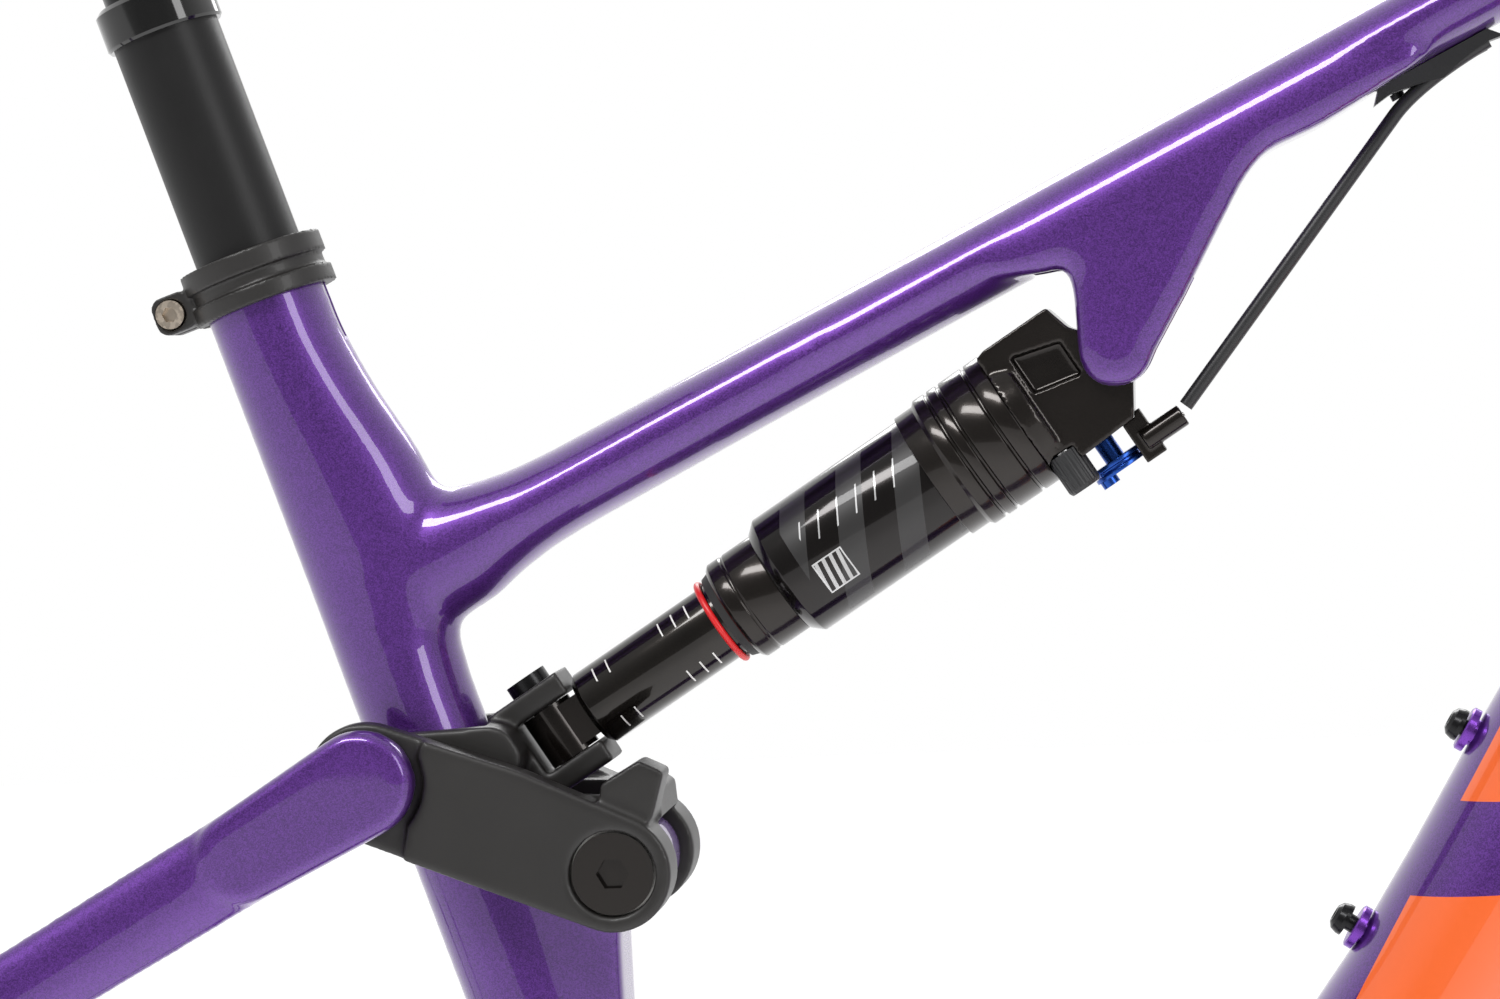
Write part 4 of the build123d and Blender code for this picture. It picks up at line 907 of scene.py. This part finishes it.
    def _head_tube(self, bm: bmesh.types.BMesh) -> None:
        """The head tube, wider at both ends.

        Args:
            bm: What it is added to.
        """
        low = HEAD_MIDDLE - HEAD_UP * (HEAD_LENGTH / 2)
        heights = (0.0, 0.006, 0.014, 0.028, 0.060, 0.084, 0.094, 0.100)
        radii = (0.0298, 0.0298, 0.0288, 0.0265, 0.0240, 0.0242, 0.0252, 0.0252)
        add_tube(bm, [Station(low + HEAD_UP * h, HEAD_UP, r, r) for h, r in zip(heights, radii)], 56)

    def _shock_mount(self, bm: bmesh.types.BMesh) -> None:
        """The mount that hangs under the top tube and takes the shock's upper eye between its cheeks.

        Args:
            bm: What it is added to.
        """
        x, z = SHOCK_TOP.x, SHOCK_TOP.z
        outline = [top_point(0.118, -0.006), top_point(0.133, -0.0125), Vector((0.1405, 0, 0.4015)),
                   Vector((0.1438, 0, 0.3925))]
        for step in range(13):
            turn = pi + step * pi * 0.98 / 12 - 0.12
            outline.append(Vector((x + 0.0103 * cos(turn), 0, z + 0.0103 * sin(turn))))
        outline += [Vector((0.1738, 0, 0.3875)), Vector((0.1826, 0, 0.4035)), Vector((0.1915, 0, 0.4195))]
        outline += [Vector((0.1975, 0, 0.4268)), top_point(0.2075, -0.0124), top_point(0.222, -0.0114)]
        outline += [top_point(0.240, -0.0100), top_point(0.215, -0.001), top_point(0.130, -0.001)]
        add_plate(bm, outline, -self.cheek_outer, self.cheek_outer)

    def _lower_end(self, bm: bmesh.types.BMesh) -> None:
        """The bottom bracket's shell and the lug of the main pivot.

        Args:
            bm: What it is added to.
        """
        add_rod(bm, -SIDEWAYS * self.shell_half, SIDEWAYS, 0.0252, 2 * self.shell_half)
        ends = [
            (MAIN_PIVOT, 0.0138), (Vector((-0.008, 0, 0.014)), 0.0125), (Vector((0.012, 0, 0.012)), 0.0125),
        ]
        for point, radius in ends:
            add_rod(bm, point - SIDEWAYS * 0.0228, SIDEWAYS, radius, 0.0456)
        run = Vector((0.02, 0, -0.036)).normalized()
        square = Vector((run.z, 0, -run.x))
        corners = [MAIN_PIVOT + square * 0.0135, MAIN_PIVOT - square * 0.0135]
        corners += [Vector((0.0, 0, 0.008)) - square * 0.016, Vector((0.0, 0, 0.008)) + square * 0.016]
        add_plate(bm, corners, -0.0228, 0.0228)

    def _cuts(self) -> list[bmesh.types.BMesh]:
        """The bores, the gap between the shock mount's cheeks and the seat tube's slot.

        Returns:
            The shapes to take away.
        """
        low = HEAD_MIDDLE - HEAD_UP * (HEAD_LENGTH / 2)
        high = HEAD_MIDDLE + HEAD_UP * (HEAD_LENGTH / 2)
        gap = bmesh.new()
        gap_outline = [Vector((0.128, 0, 0.350)), Vector((0.195, 0, 0.350)), Vector((0.175, 0, 0.398)),
                       Vector((0.166, 0, 0.401)), Vector((0.133, 0, 0.401))]
        add_plate(gap, gap_outline, -self.cheek_inner, self.cheek_inner)
        slot = bmesh.new()
        corners = [seat_point(SEAT_TOP - 0.026, 0.014), seat_point(SEAT_TOP - 0.026, 0.030),
                   seat_point(SEAT_TOP + 0.010, 0.030), seat_point(SEAT_TOP + 0.010, 0.014)]
        add_plate(slot, corners, -0.0012, 0.0012)
        return [
            bore(low - HEAD_UP * 0.002, HEAD_UP, 0.018, HEAD_LENGTH + 0.004),
            bore(low - HEAD_UP * 0.002, HEAD_UP, 0.026, 0.010),
            bore(high - HEAD_UP * 0.008, HEAD_UP, 0.02095, 0.010),
            across(Vector((0, 0, 0)), 0.0205, 0.060),
            bore(seat_point(POST_LOW), SEAT_UP, POST_R, SEAT_TOP - POST_LOW + 0.020),
            across(LINK_PIVOT, 0.00755, 0.030),
            across(MAIN_PIVOT, 0.00755, 0.035),
            bore(SHOCK_TOP - SIDEWAYS * 0.0192, SIDEWAYS, 0.00405, 0.045),
            bore(low - HEAD_UP * 0.030, HEAD_UP, 0.030, 0.030),
            gap,
            slot,
        ]


@dataclass
class RockerAndYoke:
    """The satin black rocker link and the yoke that it drives."""

    shop: Workshop
    voxel: float = 0.0008
    rounds: int = 7

    def build(self) -> None:
        """Make both castings and dress the pivots."""
        link = self.shop.moulded(self.shop.copy_of(["rocker_link"]), self.voxel, self.rounds)
        self.shop.piece("rocker_link_casting", link, Finish.SATIN, "rocker", "satin_black", ("rocker_link",))
        yoke = self.shop.moulded(self.shop.copy_of(["yoke"]), self.voxel, self.rounds)
        self.shop.piece("yoke_casting", yoke, Finish.SATIN, "shock_rod", "satin_black", ("yoke",))
        self.shop.dress(Finish.STEEL, "link_bearings", "stay_bearings", "stay_pins", "main_bearings")
        self.shop.dress(Finish.BARE, "link_spacers", "main_spacers")
        self.shop.dress(Finish.GLOSS, "link_axle", "link_axle_cap", "main_axle", "main_axle_cap")


@dataclass
class RearTriangle:
    """The painted seatstays and chainstays with their dropouts."""

    shop: Workshop
    voxel: float = 0.0013
    rounds: int = 6

    def build(self) -> None:
        """Make both pairs of stays and dress the rear end."""
        names = ("seatstays", "seatstay_bridge")
        upper = self.shop.moulded(self.shop.copy_of(names), self.voxel, self.rounds)
        self.shop.piece("seatstay_pair", upper, Finish.PLAIN_PAINT, "upper_stays", "violet_paint", names)
        names = ("chainstays", "chainstay_yoke", "brake_mount")
        lower = self.shop.moulded(self.shop.copy_of(names), self.voxel, self.rounds)
        self.shop.piece("chainstay_pair", lower, Finish.PLAIN_PAINT, "lower_stays", "violet_paint", names)
        self.shop.dress(Finish.GLOSS, "dropouts", "dropout_bolts", "derailleur_hanger")
        self.shop.dress(Finish.STEEL, "hanger_screw")


@dataclass
class Shock:
    """The air shock: can, collar, forged head, shaft and fittings."""

    shop: Workshop
    voxel: float = 0.0006
    rounds: int = 5

    def build(self) -> None:
        """Make the turned and forged pieces and dress the rest."""
        self._turned("air_can_turned", [
            (0.0151, 0.0758), (0.0158, 0.0758), (0.0186, 0.0790), (0.0186, 0.1340), (0.0166, 0.1340),
            (0.0166, 0.0808), (0.0151, 0.0808),
        ], Finish.CAN, "shock_body", "air_can")
        outer, groove = 0.0207, 0.0199
        ridges = [(outer, 0.1352)]
        for start in (0.1385, 0.1425, 0.1510):
            ridges += [(outer, start), (groove, start + 0.0003)]
            ridges += [(groove, start + 0.0010), (outer, start + 0.0013)]
        self._turned("can_collar_turned", [
            (0.0166, 0.1340), (0.0186, 0.1340), (0.0186, 0.1282), (0.0195, 0.1282), (0.0195, 0.1340),
            *ridges, (outer, 0.1570), (0.0166, 0.1570),
        ], Finish.GLOSS, "shock_body", "can_collar")
        self._turned("seal_head_turned", [
            (0.0113, 0.0600), (0.0142, 0.0600), (0.0154, 0.0612), (0.0154, 0.0650), (0.0151, 0.0653),
            (0.0151, 0.0660), (0.0154, 0.0663), (0.0154, 0.0758), (0.0151, 0.0758), (0.0151, 0.0808),
            (0.0113, 0.0808),
        ], Finish.GLOSS, "shock_body", "seal_head")
        self._turned("shock_shaft_turned", [
            (0.0000, 0.0104), (0.0096, 0.0104), (0.01125, 0.0120), (0.01125, 0.1030), (0.0096, 0.1030),
            (0.0096, 0.0194), (0.0000, 0.0194),
        ], Finish.SHAFT, "shock_rod", "shock_shaft")
        head = self.shop.moulded(self.shop.copy_of(["shock_head"]), self.voxel, self.rounds)
        self.shop.piece(
            "shock_head_forging", head, Finish.GLOSS, "shock_body", "black_anodised", ("shock_head",)
        )
        stop = self.shop.moulded(self.shop.copy_of(["cable_stop"]), 0.0003, 4)
        self.shop.piece(
            "cable_stop_forging", stop, Finish.GLOSS, "shock_body", "black_anodised", ("cable_stop",)
        )
        self.shop.dress(Finish.GLOSS, "shock_eyelet")
        self.shop.dress(Finish.RUBBER, "shaft_wiper")
        self.shop.dress(Finish.RED, "o_ring")
        self._spool()
        self._valve_cap()
        self.shop.dress(Finish.BARE, "valve_core", "shock_bushing", "eyelet_bushing", "air_piston")
        self.shop.dress(Finish.STEEL, "damper_rod")
        self.shop.dress(Finish.BLUE, "cable_screw")
        self.shop.dress(Finish.OXIDE, "upper_shock_bolt", "yoke_bolt")
        self.shop.dress(Finish.CABLE, "inner_cable")

    def _spool(self) -> None:
        """The blue lockout spool with its cable groove."""
        profile = [
            (0.0, 0.0050), (0.00295, 0.0050), (0.00295, 0.0246), (0.0080, 0.0246), (0.0080, 0.0258),
            (0.0070, 0.0260), (0.0070, 0.0268), (0.0080, 0.0270), (0.0080, 0.0282), (0.0, 0.0282),
        ]
        mesh = as_mesh(spun(shock_point(0.1728), SHOCK_DOWN, profile, 0.00015), "spool")
        self.shop.piece(
            "lockout_spool_turned", mesh, Finish.BLUE, "spool", "blue_anodised", ("lockout_spool",)
        )

    def _valve_cap(self) -> None:
        """The knurled cap of the air valve."""
        origin = shock_point(0.1622, 0.0, -0.0105)
        profile = [(0.0026, 0.0150), (0.0050, 0.0150), (0.0050, 0.0255), (0.0044, 0.0266), (0.0, 0.0266),
                   (0.0, 0.0236), (0.0026, 0.0236)]
        cap = spun(origin, SHOCK_DOWN, profile, 0.00015, 120)
        knurl(cap, origin, SHOCK_DOWN, 0.0045, 0.00022, 24)
        self.shop.piece(
            "valve_cap_moulding", as_mesh(cap, "cap"), Finish.PLASTIC, "shock_body", "black_plastic",
            ("valve_cap",),
        )

    def _turned(
        self, name: str, profile: Sequence[tuple[float, float]], kind: Finish, body: str, node: str
    ) -> None:
        """A piece turned about the shock's axis, in place of its CAD node."""
        mesh = as_mesh(spun(SHOCK_EYE, SHOCK_UP, profile), name)
        self.shop.piece(name, mesh, kind, body, "black_anodised", (node,))


@dataclass
class SeatPost:
    """The dropper post, its clamp and the saddle clamp."""

    shop: Workshop

    def build(self) -> None:
        """Make the clamp band and dress the post."""
        band = self.shop.moulded(self.shop.copy_of(["seat_clamp_band"]), 0.0005, 3)
        self.shop.piece(
            "seat_clamp_casting", band, Finish.SATIN, "front_frame", "satin_black", ("seat_clamp_band",)
        )
        self.shop.dress(Finish.POST, "seatpost_outer", "post_foot", "post_head", "rail_clamp")
        self.shop.dress(Finish.COLLAR, "seatpost_collar")
        self.shop.dress(Finish.OXIDE, "stanchion", "rail_clamp_bolts")
        self.shop.dress(Finish.CHAMPAGNE, "seat_clamp_bolt")


@dataclass
class SmallParts:
    """Bottle bosses, cable guide and remote housing."""

    shop: Workshop
    housing_diameter: float = 0.004
    housing_length: float = 0.130

    def build(self) -> None:
        """Dress the small parts and lay the housing."""
        self.shop.dress(Finish.VIOLET, "bottle_inserts")
        self.shop.dress(Finish.OXIDE, "bottle_bolts", "guide_screws")
        self.shop.dress(Finish.PLASTIC, "cable_guide")
        self._housing()

    def _housing(self) -> None:
        """The remote's housing, held by the guide and cut off at the cable stop."""
        leaves = top_point(0.254, -0.0138, -0.0028)
        bend = top_point(0.234, -0.0148, -0.0028)
        mouth = shock_point(0.1974, 0.0234, -0.0068)
        run = (mouth - bend).normalized()
        points = [leaves, bend, bend + run * 0.022, mouth]
        data = bpy.data.curves.new("housing", "CURVE")
        data.dimensions = "3D"
        data.bevel_depth = self.housing_diameter / 2
        data.bevel_resolution = 8
        data.use_fill_caps = True
        spline = data.splines.new("NURBS")
        spline.points.add(len(points) - 1)
        for knot, point in zip(spline.points, points):
            knot.co = (*point, 1.0)
        spline.order_u = 3
        spline.use_endpoint_u = True
        spline.resolution_u = 16
        data.materials.append(self.shop.finish(Finish.PLASTIC))
        housing = bpy.data.objects.new("remote_housing_run", data)
        bpy.context.scene.collection.objects.link(housing)
        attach(housing, "front_frame")
        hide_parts("remote_housing")
        LOG.info("remote_housing_run: %d points", len(points))


@dataclass
class Studio:
    """Pale floor and surround, soft lights and the camera."""

    eye: Vector = field(default_factory=lambda: Vector((0.18270, -1.24210, 0.38300)))
    target: Vector = field(default_factory=lambda: Vector((0.050, 0.0, 0.337)))
    up: Vector = field(default_factory=lambda: Vector((0.04711, 0.0, 0.99889)))
    lens: float = 106.56
    floor: float = -0.60
    near_light: float = 0.24

    def build(self) -> None:
        """Make the studio."""
        self._camera()
        self._floor()
        self._lights()

    def _camera(self) -> None:
        """The camera, square to nothing but its own target."""
        data = bpy.data.cameras.new("camera")
        data.lens = self.lens
        data.sensor_width = 36.0
        data.clip_start = 0.05
        data.clip_end = 50.0
        camera = bpy.data.objects.new("camera", data)
        bpy.context.scene.collection.objects.link(camera)
        look = (self.target - self.eye).normalized()
        right = look.cross(self.up).normalized()
        up = right.cross(look)
        camera.matrix_world = Matrix((
            (right.x, up.x, -look.x, self.eye.x), (right.y, up.y, -look.y, self.eye.y),
            (right.z, up.z, -look.z, self.eye.z), (0.0, 0.0, 0.0, 1.0),
        ))
        bpy.context.scene.camera = camera

    def _floor(self) -> None:
        """A plain pale floor."""
        bm = bmesh.new()
        matrix = Matrix.Translation((0.0, 0.0, self.floor))
        bmesh.ops.create_grid(bm, x_segments=1, y_segments=1, size=9.0, matrix=matrix)
        floor = bpy.data.objects.new("floor", as_mesh(bm, "floor"))
        bpy.context.scene.collection.objects.link(floor)
        shader = Shader("pale_floor")
        shader.set(Base_Color=(0.97, 0.97, 0.975), Roughness=0.9)
        shader.set(Emission_Color=(1.0, 1.0, 1.0), Emission_Strength=0.30)
        floor.data.materials.append(shader.material)

    def _lights(self) -> None:
        """Soft lamps and a pale surround."""
        world = bpy.data.worlds.new("surround")
        world.use_nodes = True
        nodes, links = world.node_tree.nodes, world.node_tree.links
        ground = nodes["Background"]
        place = nodes.new("ShaderNodeTexCoord")
        split = nodes.new("ShaderNodeSeparateXYZ")
        spread = nodes.new("ShaderNodeMapRange")
        limits = (("From Min", -0.9), ("From Max", 0.3), ("To Min", self.near_light), ("To Max", 1.0))
        for key, value in limits:
            spread.inputs[key].default_value = value
        links.new(place.outputs["Generated"], split.inputs[0])
        links.new(split.outputs["Y"], spread.inputs["Value"])
        links.new(spread.outputs["Result"], ground.inputs["Strength"])
        ground.inputs["Color"].default_value = (1.0, 1.0, 1.0, 1.0)
        bpy.context.scene.world = world
        bpy.context.scene.view_settings.view_transform = "Standard"
        self._lamp("key", Vector((-0.5, -1.1, 1.6)), 1.1, 0.35, 22.0)
        self._lamp("fill", Vector((1.3, -1.2, 0.9)), 0.5, 1.0, 9.0)
        self._lamp("rear", Vector((0.2, 1.4, 1.2)), 1.4, 0.6, 14.0)

    def _lamp(self, name: str, place: Vector, width: float, height: float, power: float) -> None:
        """Add one area lamp that faces the shock.

        Args:
            name: The lamp's name.
            place: Where it stands.
            width: Its width.
            height: Its height.
            power: Its power, in watts.
        """
        data = bpy.data.lights.new(name, "AREA")
        data.shape = "RECTANGLE"
        data.size = width
        data.size_y = height
        data.energy = power
        lamp = bpy.data.objects.new(name, data)
        lamp.location = place
        lamp.rotation_euler = (Vector((0.08, 0.0, 0.33)) - place).to_track_quat("-Z", "Y").to_euler()
        bpy.context.scene.collection.objects.link(lamp)


def main() -> None:
    """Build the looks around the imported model."""
    logging.basicConfig(level=logging.INFO)
    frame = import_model()
    shop = Workshop(frame["nodes"])
    Studio().build()
    for assembly in (FrontFrame, RockerAndYoke, RearTriangle, Shock, SeatPost, SmallParts):
        assembly(shop).build()


if __name__ == "__main__":
    main()
